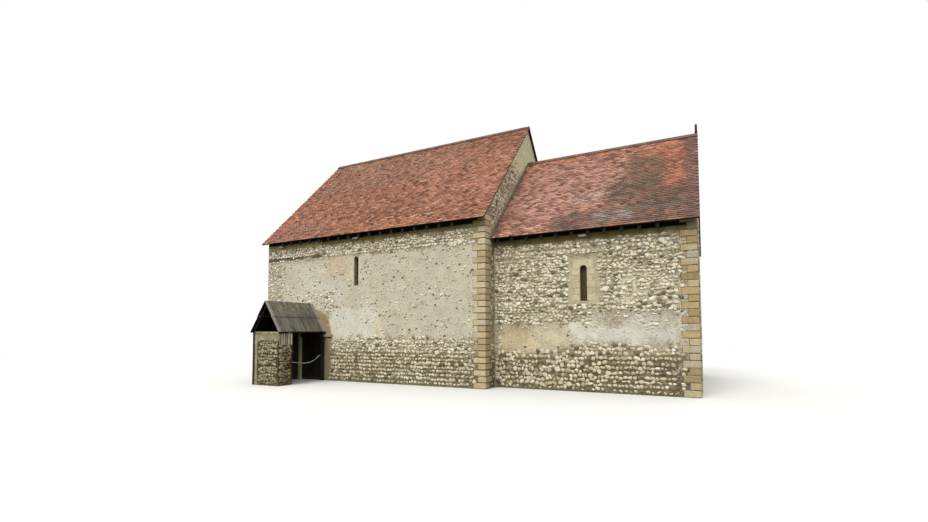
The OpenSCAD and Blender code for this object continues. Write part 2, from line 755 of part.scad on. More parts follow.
module porch_rafter_outline() {
  s = porch_slope;
  foot = porch_roof_half - 2 * porch_board_t;
  polygon([[0, slope_z(s, 0, under_boards)], [0, slope_z(s, 0, porch_low)],
           [porch_half - porch_seat, porch_plate_top], [porch_half, porch_plate_top],
           [porch_half, slope_z(s, porch_half, porch_low)],
           [foot, slope_z(s, foot, porch_low)], [foot, slope_z(s, foot, under_boards)]]);
}
// The strip under the upper tier of boards, at the ridge
porch_strip_reach = 90;
module porch_ridge_strip() {
  s = porch_slope;
  reach = porch_strip_reach;
  top = porch_board_t + seat;
  polygon([[0, slope_z(s, 0, top)], [0, slope_z(s, 0, under_boards + bed)],
           [reach, slope_z(s, reach, under_boards + bed)], [reach, slope_z(s, reach, top)]]);
}
module porch_rafters() {
  color(tar) in_place() translate([door_x, 0, 0]) for (m = [0, 1]) mirror([m, 0, 0]) {
    for (y = porch_rafter_ys) along_y(y, y + porch_rafter_w) porch_rafter_outline();
    along_y(porch_front_y, south_y) porch_ridge_strip();
  }
}
// Two tiers of boards on one side of the porch roof, the upper lapping the lower
porch_lap = 70;
porch_upper_share = 0.53;
module porch_boards() {
  s = porch_slope;
  mid = porch_roof_half * porch_upper_share;
  low = mid - porch_lap * cos(s[2]);
  count = round(porch_l / porch_board_w);
  step = porch_l / count;
  for (i = [0 : count - 1]) {
    y0 = porch_y0 + i * step + (i > 0 ? board_gap / 2 : 0);
    y1 = porch_y0 + (i + 1) * step - (i < count - 1 ? board_gap / 2 : 0);
    along_y(y0, y1) polygon([
      [low, slope_z(s, low, porch_board_t)], [low, slope_z(s, low, 2 * porch_board_t)],
      [porch_roof_half, slope_z(s, porch_roof_half, 2 * porch_board_t)],
      [porch_roof_half, slope_z(s, porch_roof_half, porch_board_t)]]);
    along_y(y0, y1) polygon([
      [0, slope_z(s, 0, 0)], [0, slope_z(s, 0, porch_board_t)],
      [mid, slope_z(s, mid, porch_board_t)], [mid, slope_z(s, mid, 0)]]);
  }
}
module porch_roof_east_boards() { color(board) in_place() translate([door_x, 0, 0]) porch_boards(); }
module porch_roof_west_boards() {
  color(board) in_place() translate([door_x, 0, 0]) mirror([1, 0, 0]) porch_boards();
}
module porch_west_boarding() {
  x1 = door_x - porch_half;
  length = south_y - porch_front_y;
  count = round(length / porch_board_w);
  step = length / count;
  top = slope_z(porch_slope, porch_half + porch_board_t, 2 * porch_board_t) - board_gap;
  rafter_z = slope_z(porch_slope, porch_half + porch_board_t, porch_low) - board_gap;
  color(tar) in_place() difference() {
    for (i = [0 : count - 1])
      block(x1 - porch_board_t, porch_front_y + i * step, 0,
            x1, porch_front_y + (i + 1) * step - board_gap, top);
    for (y = porch_rafter_ys)
      block(x1 - porch_board_t - 1, y - board_gap, rafter_z,
            x1 + 1, y + porch_rafter_w + board_gap, top + 1);
    impost_space();
  }
}

// Rope pegs, one on the flint wall's return and one on the rear post, and the rope
module porch_rope_pegs() {
  color(iron) in_place() {
    translate([peg_x, porch_return_y, rope_z0]) rotate([-90, 0, 0]) cylinder(h = peg_l, d = rope_d + 6);
    translate([peg_x, rope_y1, rope_z1]) rotate([-90, 0, 0]) cylinder(h = peg_l, d = rope_d + 6);
  }
}
// Route of the rope from peg to peg, as [share of the span, height]
rope_route = [
  [0.00, 760], [0.05, 760], [0.10, 753], [0.16, 739], [0.23, 722], [0.31, 707], [0.39, 699],
  [0.47, 698], [0.55, 706], [0.63, 723], [0.70, 747], [0.77, 781], [0.83, 822], [0.88, 866],
  [0.92, 905], [0.95, 934], [0.975, 948], [1.00, 950]];
rope_points = [for (p = rope_route) [peg_x, rope_y0 + p[0] * (rope_y1 - rope_y0), p[1]]];
rope_sides = 8;
// Direction of the rope at each ring, from its neighbours
rope_last = len(rope_points) - 1;
function rope_dir(i) = let (a = rope_points[max(0, i - 1)], b = rope_points[min(rope_last, i + 1)])
  i == 0 || i == rope_last ? [0, 1, 0] : (b - a) / norm(b - a);
function rope_ring(i) = let (d = rope_dir(i), up = [0, -d[2], d[1]])
  [for (k = [0 : rope_sides - 1]) rope_points[i]
    + rope_d / 2 * (cos(k * 360 / rope_sides) * [1, 0, 0] + sin(k * 360 / rope_sides) * up)];
module porch_rope() {
  color([0.72, 0.66, 0.55]) in_place() polyhedron(
    [for (i = [0 : rope_last]) each rope_ring(i)],
    concat([[for (k = [0 : rope_sides - 1]) k]],
      [for (i = [0 : rope_last - 1], k = [0 : rope_sides - 1])
        [i * rope_sides + k, (i + 1) * rope_sides + k,
         (i + 1) * rope_sides + (k + 1) % rope_sides, i * rope_sides + (k + 1) % rope_sides]],
      [[for (k = [rope_sides - 1 : -1 : 0]) rope_last * rope_sides + k]]));
}

// Small lamps on the south walls, close under the eaves
lamp_h = 80;
lamp_t = 90;
lamp_drop = 230;
nave_lamp_xs = [850, 4700];
chancel_lamp_x = 2990;
module lamp(x, s) {
  z = slope_z(s, s[0], rafter_low) - bed - lamp_drop;
  translate([x - lamp_l / 2, -s[0] - lamp_t, z]) cube([lamp_l, lamp_t, lamp_h]);
}
module eave_lamps() {
  color([0.6, 0.6, 0.58]) in_place() {
    for (x = nave_lamp_xs) lamp(x, nave_slope);
    lamp(nave_l + chancel_lamp_x, chancel_slope);
  }
}

// Door leaf: boards under three ledges, hung by two straps on pintles in the west reveal
module leaf_outline() {
  translate([-leaf_r, leaf_z]) square([2 * leaf_r, door_spring_z - leaf_z]);
  translate([0, door_spring_z]) circle(leaf_r, $fn = 96);
}
leaf_boards = 5;
module door_boards() {
  board_w = 2 * leaf_r / leaf_boards;
  color(oak) in_place() translate([door_x, 0, 0]) for (i = [0 : leaf_boards - 1]) {
    x0 = -leaf_r + i * board_w + (i > 0 ? board_gap / 2 : 0);
    x1 = -leaf_r + (i + 1) * board_w - (i < leaf_boards - 1 ? board_gap / 2 : 0);
    along_y(leaf_y, leaf_y + door_t) intersection() {
      leaf_outline();
      translate([x0, 0]) square([x1 - x0, nave_eave_z]);
    }
  }
}
ledge_h = 120;
ledge_t = 35;
ledge_inset = 70;
ledge_rise = 160;
ledge_step = 700;
ledge_fall = 80;
ledge_zs = [threshold_z + ledge_rise, threshold_z + ledge_rise + ledge_step, door_spring_z - ledge_fall];
module door_ledges() {
  reach = leaf_r - ledge_inset;
  back_y = leaf_y + door_t;
  color(oak) in_place() for (z = ledge_zs)
    block(door_x - reach, back_y, z, door_x + reach, back_y + ledge_t, z + ledge_h);
}
strap_l = 900;
module door_straps() {
  color(iron) in_place() for (z = strap_zs) difference() {
    union() {
      block(axis_x, leaf_y + door_t, z, axis_x + strap_l, leaf_y + door_t + strap_t, z + strap_h);
      translate([axis_x, axis_y, z]) cylinder(h = strap_h, r = eye_r);
    }
    translate([axis_x, axis_y, z - 1]) cylinder(h = strap_h + 2, r = pin_r + pin_gap);
  }
}
// Each pin stands in a tang that is let into the reveal under the strap's eye
tang_h = 20;
tang_gap = 6;
pin_over = 8;
module door_pintles() {
  color(iron) in_place() for (z = strap_zs) {
    low = z - tang_gap - tang_h;
    translate([axis_x, axis_y, low]) cylinder(h = strap_h + tang_gap + tang_h + pin_over, r = pin_r);
    block(axis_x - reveal_gap, axis_y - pin_r, low, axis_x, axis_y + pin_r, low + tang_h);
  }
}
ring_r = 55;
ring_z = 1080;
ring_inset = 110;
ring_bar_r = 7;
ring_plate_t = 6;
ring_boss_l = 22;
module door_ring() {
  color(iron) in_place() translate([door_x + door_r - ring_inset, leaf_y, ring_z]) {
    rotate([90, 0, 0]) cylinder(h = ring_plate_t, r = 38);
    translate([0, -ring_plate_t, 0]) rotate([90, 0, 0]) cylinder(h = ring_boss_l, r = 12);
    translate([0, -ring_plate_t - ring_boss_l / 2, -ring_r]) rotate([90, 0, 0])
      rotate_extrude() translate([ring_r, 0]) circle(ring_bar_r, $fn = 24);
  }
}

nave_south_wall_west();
nave_south_wall_east();
nave_south_wall_over_door();
nave_north_wall();
nave_west_wall();
nave_east_wall_piers();
nave_east_gable();
nave_quoins();
chancel_south_wall();
chancel_north_wall();
chancel_east_wall();
chancel_quoins();
doorway_jambs();
doorway_arch();
doorway_lintel();
chancel_arch();
window_dressings();
window_glazing();
stone_floors();
nave_wall_plates();
nave_tie_beams();
nave_rafters_south();
nave_rafters_north();
nave_collars();
nave_roof_south_tiles();
nave_roof_north_tiles();
ridge_tiles();
chancel_wall_plates();
chancel_tie_beams();
chancel_rafters_south();
chancel_rafters_north();
chancel_collars();
chancel_roof_south_tiles();
chancel_roof_north_tiles();
chancel_finial();
porch_front_wall();
porch_posts();
porch_wall_plates();
porch_rafters();
porch_roof_east_boards();
porch_roof_west_boards();
porch_west_boarding();
porch_rope_pegs();
porch_rope();
eave_lamps();
door_pintles();
door_boards();
door_ledges();
door_straps();
door_ring();
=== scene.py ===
# Small flint chapel: tiles, flints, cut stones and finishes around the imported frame
import json
import math
import random
from itertools import product

import bpy
from mathutils import Matrix, Vector, noise

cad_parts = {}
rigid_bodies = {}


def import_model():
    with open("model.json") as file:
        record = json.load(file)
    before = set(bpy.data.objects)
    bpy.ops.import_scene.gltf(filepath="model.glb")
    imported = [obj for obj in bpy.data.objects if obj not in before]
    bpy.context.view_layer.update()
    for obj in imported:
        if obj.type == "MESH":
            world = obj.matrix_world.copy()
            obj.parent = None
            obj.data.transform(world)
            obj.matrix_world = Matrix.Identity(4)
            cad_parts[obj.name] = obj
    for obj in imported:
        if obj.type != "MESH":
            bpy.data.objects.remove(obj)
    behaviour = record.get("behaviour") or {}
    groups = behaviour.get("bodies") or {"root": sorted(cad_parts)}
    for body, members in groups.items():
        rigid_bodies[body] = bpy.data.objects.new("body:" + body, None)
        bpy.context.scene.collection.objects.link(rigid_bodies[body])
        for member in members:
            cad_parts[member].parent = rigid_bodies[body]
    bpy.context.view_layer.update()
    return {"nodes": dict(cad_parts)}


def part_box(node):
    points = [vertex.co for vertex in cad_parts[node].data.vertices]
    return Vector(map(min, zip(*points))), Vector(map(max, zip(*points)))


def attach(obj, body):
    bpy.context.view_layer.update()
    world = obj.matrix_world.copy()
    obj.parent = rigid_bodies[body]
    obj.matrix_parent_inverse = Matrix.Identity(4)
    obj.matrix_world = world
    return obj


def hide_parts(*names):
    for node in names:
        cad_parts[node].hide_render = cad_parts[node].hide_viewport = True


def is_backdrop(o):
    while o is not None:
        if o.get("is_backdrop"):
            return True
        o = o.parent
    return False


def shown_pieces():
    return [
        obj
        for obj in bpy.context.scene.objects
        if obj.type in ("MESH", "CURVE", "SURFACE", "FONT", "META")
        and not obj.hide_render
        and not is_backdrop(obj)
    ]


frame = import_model()
cad = frame["nodes"]
print("frame:", len(cad), "nodes")


def low(node):
    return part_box(node)[0]


def high(node):
    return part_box(node)[1]


# Where the CAD stands: the wall faces, the doorway's middle and the porch's front
west, east = low("nave_west_wall").x, high("nave_quoins").x
naveSouth, naveNorth = low("nave_west_wall").y, high("nave_west_wall").y
chancelEast = high("chancel_quoins").x
chancelSouth, chancelNorth = low("chancel_quoins").y, high("chancel_quoins").y
doorX = 0.5 * (low("doorway_arch").x + high("doorway_arch").x)
porchFront, porchEast = low("porch_front_wall").y, high("porch_front_wall").x
middle = 0.5 * (naveSouth + naveNorth)

# Camera: it stands just east of the chancel's east face, and the photograph is cropped a little off centre
view = {"place": (8.124, -15.790, 1.858), "tilt": 0.0482, "roll": 0.0059, "turn": 0.4485, "lens": 17.35,
        "shift": (-0.0253, 0.0512)}

camera = bpy.data.objects.new("camera", bpy.data.cameras.new("camera"))
camera.data.sensor_width = 36
camera.data.lens = view["lens"]
camera.data.shift_x, camera.data.shift_y = view["shift"]
camera.location = view["place"]
camera.rotation_euler = (math.pi / 2 + view["tilt"], view["roll"], view["turn"])
bpy.context.scene.collection.objects.link(camera)
bpy.context.scene.camera = camera
print("camera set")


class Nodes:
    # A shader tree being filled: each method adds a node and gives back its output
    def __init__(self, tree):
        self.nodes = tree.nodes
        self.links = tree.links

    def put(self, socket, value):
        if isinstance(value, bpy.types.NodeSocket):
            self.links.new(value, socket)
        elif value is not None:
            socket.default_value = (*value, 1) if socket.type == "RGBA" else value

    def add(self, kind, *values, **settings):
        node = self.nodes.new(kind)
        for key, value in settings.items():
            setattr(node, key, value)
        for socket, value in zip(node.inputs, values):
            self.put(socket, value)
        return node

    def maths(self, kind, a, b=None, c=None):
        return self.add("ShaderNodeMath", a, b, c, operation=kind).outputs[0]

    def times(self, product, *others):
        for other in others:
            product = self.maths("MULTIPLY", product, other)
        return product

    def fade(self, value, start, end, lowest=0.0, highest=1.0):
        # Goes smoothly from the lowest to the highest as the value goes from start to end
        return self.add("ShaderNodeMapRange", value, start, end, lowest, highest,
                        interpolation_type="SMOOTHSTEP").outputs[0]


class Finish(Nodes):
    # A material being made, on the object's own coordinates
    def __init__(self, name, roughness=0.9, gloss=0.2, metal=0.0):
        self.material = bpy.data.materials.new(name)
        self.material.use_nodes = True
        super().__init__(self.material.node_tree)
        self.shader = self.nodes["Principled BSDF"]
        self.shader.inputs["Roughness"].default_value = roughness
        self.shader.inputs["Specular IOR Level"].default_value = gloss
        self.shader.inputs["Metallic"].default_value = metal
        self.here = self.nodes.new("ShaderNodeTexCoord").outputs["Object"]
        self.x, self.y, self.z = self.add("ShaderNodeSeparateXYZ", self.here).outputs

    def stretched(self, scale, turn=(0, 0, 0)):
        return self.add("ShaderNodeMapping", self.here, (0, 0, 0), turn, scale).outputs[0]

    def clouds(self, scale, detail=3, where=None, rough=0.55):
        node = self.nodes.new("ShaderNodeTexNoise")
        self.put(node.inputs["Vector"], where or self.here)
        self.put(node.inputs["Scale"], scale)
        self.put(node.inputs["Detail"], detail)
        self.put(node.inputs["Roughness"], rough)
        return node.outputs[0]

    def cells(self, scale, where=None, feature="F1"):
        node = self.nodes.new("ShaderNodeTexVoronoi")
        node.feature = feature
        self.put(node.inputs["Vector"], where or self.here)
        self.put(node.inputs["Scale"], scale)
        return node.outputs["Distance"]

    def mix(self, share, a, b, kind="MIX"):
        node = self.nodes.new("ShaderNodeMix")
        node.data_type, node.blend_type = "RGBA", kind
        for socket, value in zip((node.inputs[0], node.inputs[6], node.inputs[7]), (share, a, b)):
            self.put(socket, value)
        return node.outputs[2]

    def ramp(self, value, stops):
        node = self.add("ShaderNodeValToRGB", value)
        points = node.color_ramp.elements
        while len(points) < len(stops):
            points.new(0.5)
        for point, (place, colour) in zip(points, stops):
            point.position, point.color = place, (*colour, 1)
        return node.outputs[0]

    def read(self, name):
        node = self.nodes.new("ShaderNodeAttribute")
        node.attribute_name = name
        return node.outputs["Fac"]

    def shade(self, colour, share, lowest=0.7, highest=1.2):
        # Darkens and lightens a colour by a pattern
        level = self.add("ShaderNodeMapRange", share, 0.25, 0.75, lowest, highest).outputs[0]
        grey = self.add("ShaderNodeCombineColor", level, level, level).outputs[0]
        return self.mix(1.0, colour, grey, "MULTIPLY")

    def patch(self, limits, start, soft=0.1, wobble=0.8, scale=1.3):
        # 1 inside an upright rectangle with a ragged edge, its limits along X measured from the start
        a0, z0, a1, z1 = limits
        coarse = self.maths("MULTIPLY_ADD", self.clouds(scale, 3), wobble, -0.5 * wobble)
        fine = self.maths("MULTIPLY_ADD", self.clouds(8.5, 3), 0.5 * wobble, -0.25 * wobble)
        gaps = []
        for axis, lowest, highest in ((self.x, start + a0, start + a1), (self.z, z0, z1)):
            off = self.maths("SUBTRACT", axis, 0.5 * (lowest + highest))
            gaps.append(self.maths("SUBTRACT", self.maths("ABSOLUTE", off), 0.5 * (highest - lowest)))
        reach = self.maths("ADD", self.maths("ADD", self.maths("MAXIMUM", *gaps), coarse), fine)
        return self.fade(reach, soft, -soft)

    def inBlock(self, limits, sharp):
        # 1 inside a block given by its limits along X and Y, and along Z where they are given too
        inside = 1.0
        for axis, (lowest, highest) in zip((self.x, self.y, self.z), limits):
            for edge, way in ((lowest, 1), (highest, -1)):
                inside = self.times(inside, self.fade(axis, edge - way * sharp, edge + way * sharp))
        return inside

    def paint(self, colour):
        self.put(self.shader.inputs["Base Color"], colour)
        return self

    def painted(self):
        # The colour as it was painted last, to paint over
        return self.shader.inputs["Base Color"].links[0].from_socket

    def bump(self, height, depth, strength=1.0):
        node = self.nodes.new("ShaderNodeBump")
        node.inputs["Strength"].default_value = strength
        node.inputs["Distance"].default_value = depth
        self.put(node.inputs["Height"], height)
        before = self.shader.inputs["Normal"].links
        if before:
            self.put(node.inputs["Normal"], before[0].from_socket)
        self.put(self.shader.inputs["Normal"], node.outputs[0])
        return self


def dress(nodeNames, finish):
    for name in nodeNames:
        mesh = cad[name].data
        mesh.materials.clear()
        mesh.materials.append(finish.material)


def addObject(name, mesh):
    made = bpy.data.objects.new(name, mesh)
    bpy.context.scene.collection.objects.link(made)
    return made


def band(sides, start=0):
    # The faces between one ring of points and the next
    return [[start + k, start + (k + 1) % sides, start + sides + (k + 1) % sides, start + sides + k]
            for k in range(sides)]


def knob(sides):
    # The faces of a knob: two rings of points, and one point on top
    top = [[sides + k, sides + (k + 1) % sides, 2 * sides] for k in range(sides)]
    return band(sides) + top + [list(range(sides))[::-1]]


class Pile:
    # Gathers many small solids into one mesh, each with a tone of its own
    def __init__(self):
        self.points, self.faces, self.tones = [], [], []

    def add(self, points, faces, tone=0.5):
        start = len(self.points)
        self.points += [tuple(p) for p in points]
        self.faces += [[start + i for i in face] for face in faces]
        self.tones += [tone] * len(points)

    def piece(self, name, finish, slot, body="chapel", smooth=False):
        mesh = bpy.data.meshes.new(name)
        mesh.from_pydata(self.points, [], self.faces)
        mesh.attributes.new("tone", "FLOAT", "POINT").data.foreach_set("value", self.tones)
        if smooth:
            mesh.shade_smooth()
        mesh.materials.append(finish.material)
        return finished(addObject(name, mesh), body)


def finished(piece, body="chapel"):
    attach(piece, body)
    return piece


def turnedOut(points, faces):
    # Faces of a convex solid, each turned to look away from its middle
    centre = sum((Vector(p) for p in points), Vector()) / len(points)
    out = []
    for face in faces:
        corners = [Vector(points[i]) for i in face]
        normal = Vector()
        for a, b in zip(corners, corners[1:] + corners[:1]):
            normal += a.cross(b)
        spot = sum(corners, Vector()) / len(corners)
        out.append(face if normal.dot(spot - centre) > 0 else face[::-1])
    return out


def cornerAt(axis, side, u, v):
    # A corner of a block, from its side along one axis and its sides along the other two
    signs = [u, v]
    signs.insert(axis, side)
    return tuple(signs)


def easedBlock(lowest, highest, ease):
    # A block with its edges and corners taken off
    centre = (Vector(lowest) + Vector(highest)) / 2
    half = (Vector(highest) - Vector(lowest)) / 2
    points, place = [], {}
    for corner in product((-1, 1), repeat=3):
        for axis in range(3):
            place[corner, axis] = len(points)
            points.append(centre + Vector([corner[k] * (half[k] - (0 if k == axis else ease))
                                           for k in range(3)]))
    faces = [[place[corner, k] for k in range(3)] for corner in product((-1, 1), repeat=3)]
    for axis in range(3):
        b, c = [k for k in range(3) if k != axis]
        for side in (-1, 1):
            faces.append([place[cornerAt(axis, side, u, v), axis]
                          for u, v in ((-1, -1), (1, -1), (1, 1), (-1, 1))])
        for u, v in product((-1, 1), repeat=2):
            near, far = cornerAt(axis, -1, u, v), cornerAt(axis, 1, u, v)
            faces.append([place[near, b], place[far, b], place[far, c], place[near, c]])
    return points, turnedOut(points, faces)


# Rope across the porch's open side, from peg to peg
rope = {
    "x": -4.935, "span": (-4.525, -3.245), "thick": 0.026, "strands": 3, "turn": 0.085, "sides": 18,
    "route": ((0.00, 0.760), (0.05, 0.760), (0.10, 0.753), (0.16, 0.739), (0.23, 0.722), (0.31, 0.707),
              (0.39, 0.699), (0.47, 0.698), (0.55, 0.706), (0.63, 0.723), (0.70, 0.747), (0.77, 0.781),
              (0.83, 0.822), (0.88, 0.866), (0.92, 0.905), (0.95, 0.934), (0.975, 0.948), (1.00, 0.950)),
}


def smoothLine(points, steps):
    line = []
    for i in range(len(points) - 1):
        a, b, c, d = (points[min(max(i + k, 0), len(points) - 1)] for k in (-1, 0, 1, 2))
        for s in range(steps):
            t = s / steps
            line.append(0.5 * (2 * b + (c - a) * t + (2 * a - 5 * b + 4 * c - d) * t ** 2
                               + (3 * b - a - 3 * c + d) * t ** 3))
    return line + [points[-1]]


def makeRope():
    front, back = rope["span"]
    path = [Vector((rope["x"], front + share * (back - front), z)) for share, z in rope["route"]]
    line = smoothLine(path, 7)
    length, points, sides = 0, [], rope["sides"]
    for i, spot in enumerate(line):
        if i:
            length += (spot - line[i - 1]).length
        ahead = (line[min(i + 1, len(line) - 1)] - line[max(i - 1, 0)]).normalized()
        across = Vector((1, 0, 0))
        up = across.cross(ahead)
        for k in range(sides):
            angle = 2 * math.pi * k / sides
            swell = math.cos(rope["strands"] * (angle - 2 * math.pi * length / rope["turn"]))
            radius = rope["thick"] / 2 * (0.91 + 0.09 * swell)
            points.append(spot + radius * (math.cos(angle) * across + math.sin(angle) * up))
    last = (len(line) - 1) * sides
    faces = [face for start in range(0, last, sides) for face in band(sides, start)]
    faces += [list(range(sides))[::-1], list(range(last, last + sides))]
    f = Finish("naturalRope", 0.9, 0.15)
    fibre = f.clouds(40, 5, f.stretched((1, 1, 1), (0.6, 0, 0)))
    f.paint(f.mix(f.fade(fibre, 0.35, 0.7), (0.36, 0.33, 0.27), (0.74, 0.71, 0.62)))
    f.bump(f.clouds(600, 3), 0.001, 0.6)
    strand = Pile()
    strand.add(points, faces)
    piece = strand.piece("barrierRope", f, "natural_rope", smooth=True)
    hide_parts("porch_rope")
    print("rope:", round(length, 3), "m")


makeRope()


class Rule:
    # A Geometry Nodes tree being made, with its named inputs
    def __init__(self, name, inputs):
        self.tree = bpy.data.node_groups.new(name, "GeometryNodeTree")
        sockets = self.tree.interface
        sockets.new_socket("Geometry", in_out="INPUT", socket_type="NodeSocketGeometry")
        sockets.new_socket("Geometry", in_out="OUTPUT", socket_type="NodeSocketGeometry")
        for label, kind in inputs.items():
            sockets.new_socket(label, in_out="INPUT", socket_type="NodeSocket" + kind)
        self.given = self.tree.nodes.new("NodeGroupInput").outputs
        self.end = self.tree.nodes.new("NodeGroupOutput").inputs[0]

    def add(self, kind, links=None, **settings):
        node = self.tree.nodes.new(kind)
        for key, value in settings.items():
            setattr(node, key, value)
        for key, value in (links or {}).items():
            socket = node.inputs[key]
            if isinstance(value, bpy.types.NodeSocket):
                self.tree.links.new(value, socket)
            else:
                socket.default_value = value
        return node

    def maths(self, kind, a, b=0.0, c=0.0):
        return self.add("ShaderNodeMath", {0: a, 1: b, 2: c}, operation=kind).outputs[0]

    def times(self, a, b):
        return self.maths("MULTIPLY", a, b)

    def vector(self, x, y, z):
        return self.add("ShaderNodeCombineXYZ", {0: x, 1: y, 2: z}).outputs[0]

    def turning(self, angles):
        return self.add("FunctionNodeEulerToRotation", {0: angles}).outputs[0]

    def read(self, name, kind="FLOAT_VECTOR"):
        return self.add("GeometryNodeInputNamedAttribute", {"Name": name}, data_type=kind).outputs[0]

    def mark(self, geometry, name, value, kind):
        return self.add("GeometryNodeStoreNamedAttribute",
                        {"Geometry": geometry, "Name": name, "Value": value},
                        data_type=kind, domain="POINT").outputs[0]

    def chance(self, lowest, highest, seedStep):
        seed = self.maths("ADD", self.given["Seed"], seedStep)
        return self.add("FunctionNodeRandomValue", {"Seed": seed, 2: lowest, 3: highest},
                        data_type="FLOAT").outputs[1]

    def finish(self, geometry, material):
        real = self.add("GeometryNodeRealizeInstances", {0: geometry}).outputs[0]
        done = self.add("GeometryNodeSetMaterial", {"Geometry": real, "Material": material}).outputs[0]
        self.tree.links.new(done, self.end)

    def run(self, name, values, start=None):
        # Runs the tree on a starting mesh and keeps the plain result
        holder = addObject(name, start or bpy.data.meshes.new(name))
        modifier = holder.modifiers.new("rule", "NODES")
        modifier.node_group = self.tree
        ids = {s.name: s.identifier for s in self.tree.interface.items_tree if s.in_out == "INPUT"}
        for label, value in values.items():
            modifier[ids[label]] = value
        graph = bpy.context.evaluated_depsgraph_get()
        done = bpy.data.meshes.new_from_object(holder.evaluated_get(graph),
                                               preserve_all_data_layers=True, depsgraph=graph)
        holder.modifiers.clear()
        holder.data = done
        done.name = name
        return holder


def tileRule():
    # Hangs courses of tiles on one slope, breaking joint, with a tile and a half at the ends
    r = Rule("tileSlope", {"Tile": "Object", "Courses": "Int", "Across": "Int", "Gauge": "Float",
                           "Tile width": "Float", "Tile length": "Float", "Slope length": "Float",
                           "Tilt": "Float", "Sink": "Float", "Slip": "Float", "Seed": "Int",
                           "Place": "Vector", "Turn": "Vector", "Finish": "Material"})
    g = r.given
    index = r.add("GeometryNodeInputIndex").outputs[0]
    course = r.maths("FLOOR", r.maths("DIVIDE", r.maths("ADD", index, 0.5), g["Across"]))
    column = r.maths("SUBTRACT", index, r.times(course, g["Across"]))
    odd = r.maths("MODULO", course, 2.0)
    first = r.times(odd, r.maths("LESS_THAN", column, 0.5))
    last = r.times(odd, r.maths("COMPARE", column, r.maths("SUBTRACT", g["Across"], 2.0), 0.25))
    spare = r.times(odd, r.maths("GREATER_THAN", column, r.maths("SUBTRACT", g["Across"], 1.5)))
    spot = r.maths("ADD", column, r.maths("MULTIPLY_ADD", odd, 0.5, 0.5))
    spot = r.maths("MULTIPLY_ADD", r.maths("SUBTRACT", last, first), -0.25, spot)
    up = r.times(course, g["Gauge"])
    slip = r.chance(r.times(g["Slip"], -1.0), g["Slip"], 1.0)
    place = r.vector(r.times(spot, g["Tile width"]), r.maths("ADD", up, slip),
                     r.times(g["Sink"], -1.0))
    room = r.maths("DIVIDE", r.maths("SUBTRACT", g["Slope length"], up), g["Tile length"])
    size = r.vector(r.maths("MULTIPLY_ADD", r.maths("ADD", first, last), 0.5, 1.0),
                    r.maths("MINIMUM", room, 1.0), 1.0)
    points = r.add("GeometryNodePoints", {"Count": r.times(g["Courses"], g["Across"]),
                                          "Position": place}).outputs[0]
    for name, value, kind in (("tone", r.chance(0.0, 1.0, 2.0), "FLOAT"), ("size", size, "FLOAT_VECTOR")):
        points = r.mark(points, name, value, kind)
    points = r.add("GeometryNodeDeleteGeometry",
                   {0: points, 1: r.maths("GREATER_THAN", spare, 0.5)}).outputs[0]
    lean = r.vector(r.maths("SUBTRACT", r.chance(-0.012, 0.012, 3.0), g["Tilt"]),
                    r.chance(-0.009, 0.009, 4.0), r.chance(-0.007, 0.007, 5.0))
    tile = r.add("GeometryNodeObjectInfo", {"Object": g["Tile"]}).outputs["Geometry"]
    hung = r.add("GeometryNodeInstanceOnPoints",
                 {"Points": points, "Instance": tile, "Rotation": r.turning(lean),
                  "Scale": r.read("size")}).outputs[0]
    placed = r.add("GeometryNodeTransform", {"Geometry": hung, "Translation": g["Place"],
                                             "Rotation": r.turning(g["Turn"])}).outputs[0]
    r.finish(placed, g["Finish"])
    return r


def settingRule():
    # Sets one of several shapes at each marked place, with a little chance in its turn and size
    r = Rule("setInPlace", {"Shapes": "Collection", "Kinds": "Int", "Spin": "Float", "Spread": "Float",
                            "Seed": "Int", "Finish": "Material"})
    g = r.given
    points = r.mark(g["Geometry"], "tone", r.maths("ADD", r.chance(0.0, 1.0, 1.0), r.read("bias", "FLOAT")),
                    "FLOAT")
    shapes = r.add("GeometryNodeCollectionInfo", {"Collection": g["Shapes"], "Separate Children": True,
                                                  "Reset Children": True}).outputs[0]
    kind = r.maths("FLOOR", r.chance(0.0, r.maths("SUBTRACT", g["Kinds"], 0.001), 2.0))
    spin = r.vector(r.chance(-0.08, 0.08, 3.0), r.chance(-0.08, 0.08, 4.0),
                    r.chance(r.times(g["Spin"], -1.0), g["Spin"], 5.0))
    turn = r.add("FunctionNodeRotateRotation", {0: r.turning(r.read("face")), 1: r.turning(spin)},
                 rotation_space="LOCAL").outputs[0]
    grow = r.maths("ADD", r.chance(r.times(g["Spread"], -1.0), g["Spread"], 6.0), 1.0)
    size = r.add("ShaderNodeVectorMath", {0: r.read("size"), "Scale": grow}, operation="SCALE").outputs[0]
    laid = r.add("GeometryNodeInstanceOnPoints",
                 {"Points": points, "Instance": shapes, "Pick Instance": True, "Instance Index": kind,
                  "Rotation": turn, "Scale": size}).outputs[0]
    r.finish(laid, g["Finish"])
    return r


def placesMesh(name, places):
    # Each place is (spot, turn as Euler angles, size, bias)
    mesh = bpy.data.meshes.new(name)
    mesh.from_pydata([p[0] for p in places], [], [])
    for label, kind, part in (("face", "FLOAT_VECTOR", 1), ("size", "FLOAT_VECTOR", 2)):
        mesh.attributes.new(label, kind, "POINT").data.foreach_set(
            "vector", [v for p in places for v in p[part]])
    mesh.attributes.new("bias", "FLOAT", "POINT").data.foreach_set("value", [p[3] for p in places])
    return mesh


def shapeStore(name, meshes):
    store = bpy.data.collections.new(name)
    bpy.context.scene.collection.children.link(store)
    for i, mesh in enumerate(meshes):
        store.objects.link(bpy.data.objects.new(f"{name}.{i:02d}", mesh))
    return store


def clearStore(store):
    for shape in list(store.objects):
        bpy.data.objects.remove(shape)
    bpy.data.collections.remove(store)


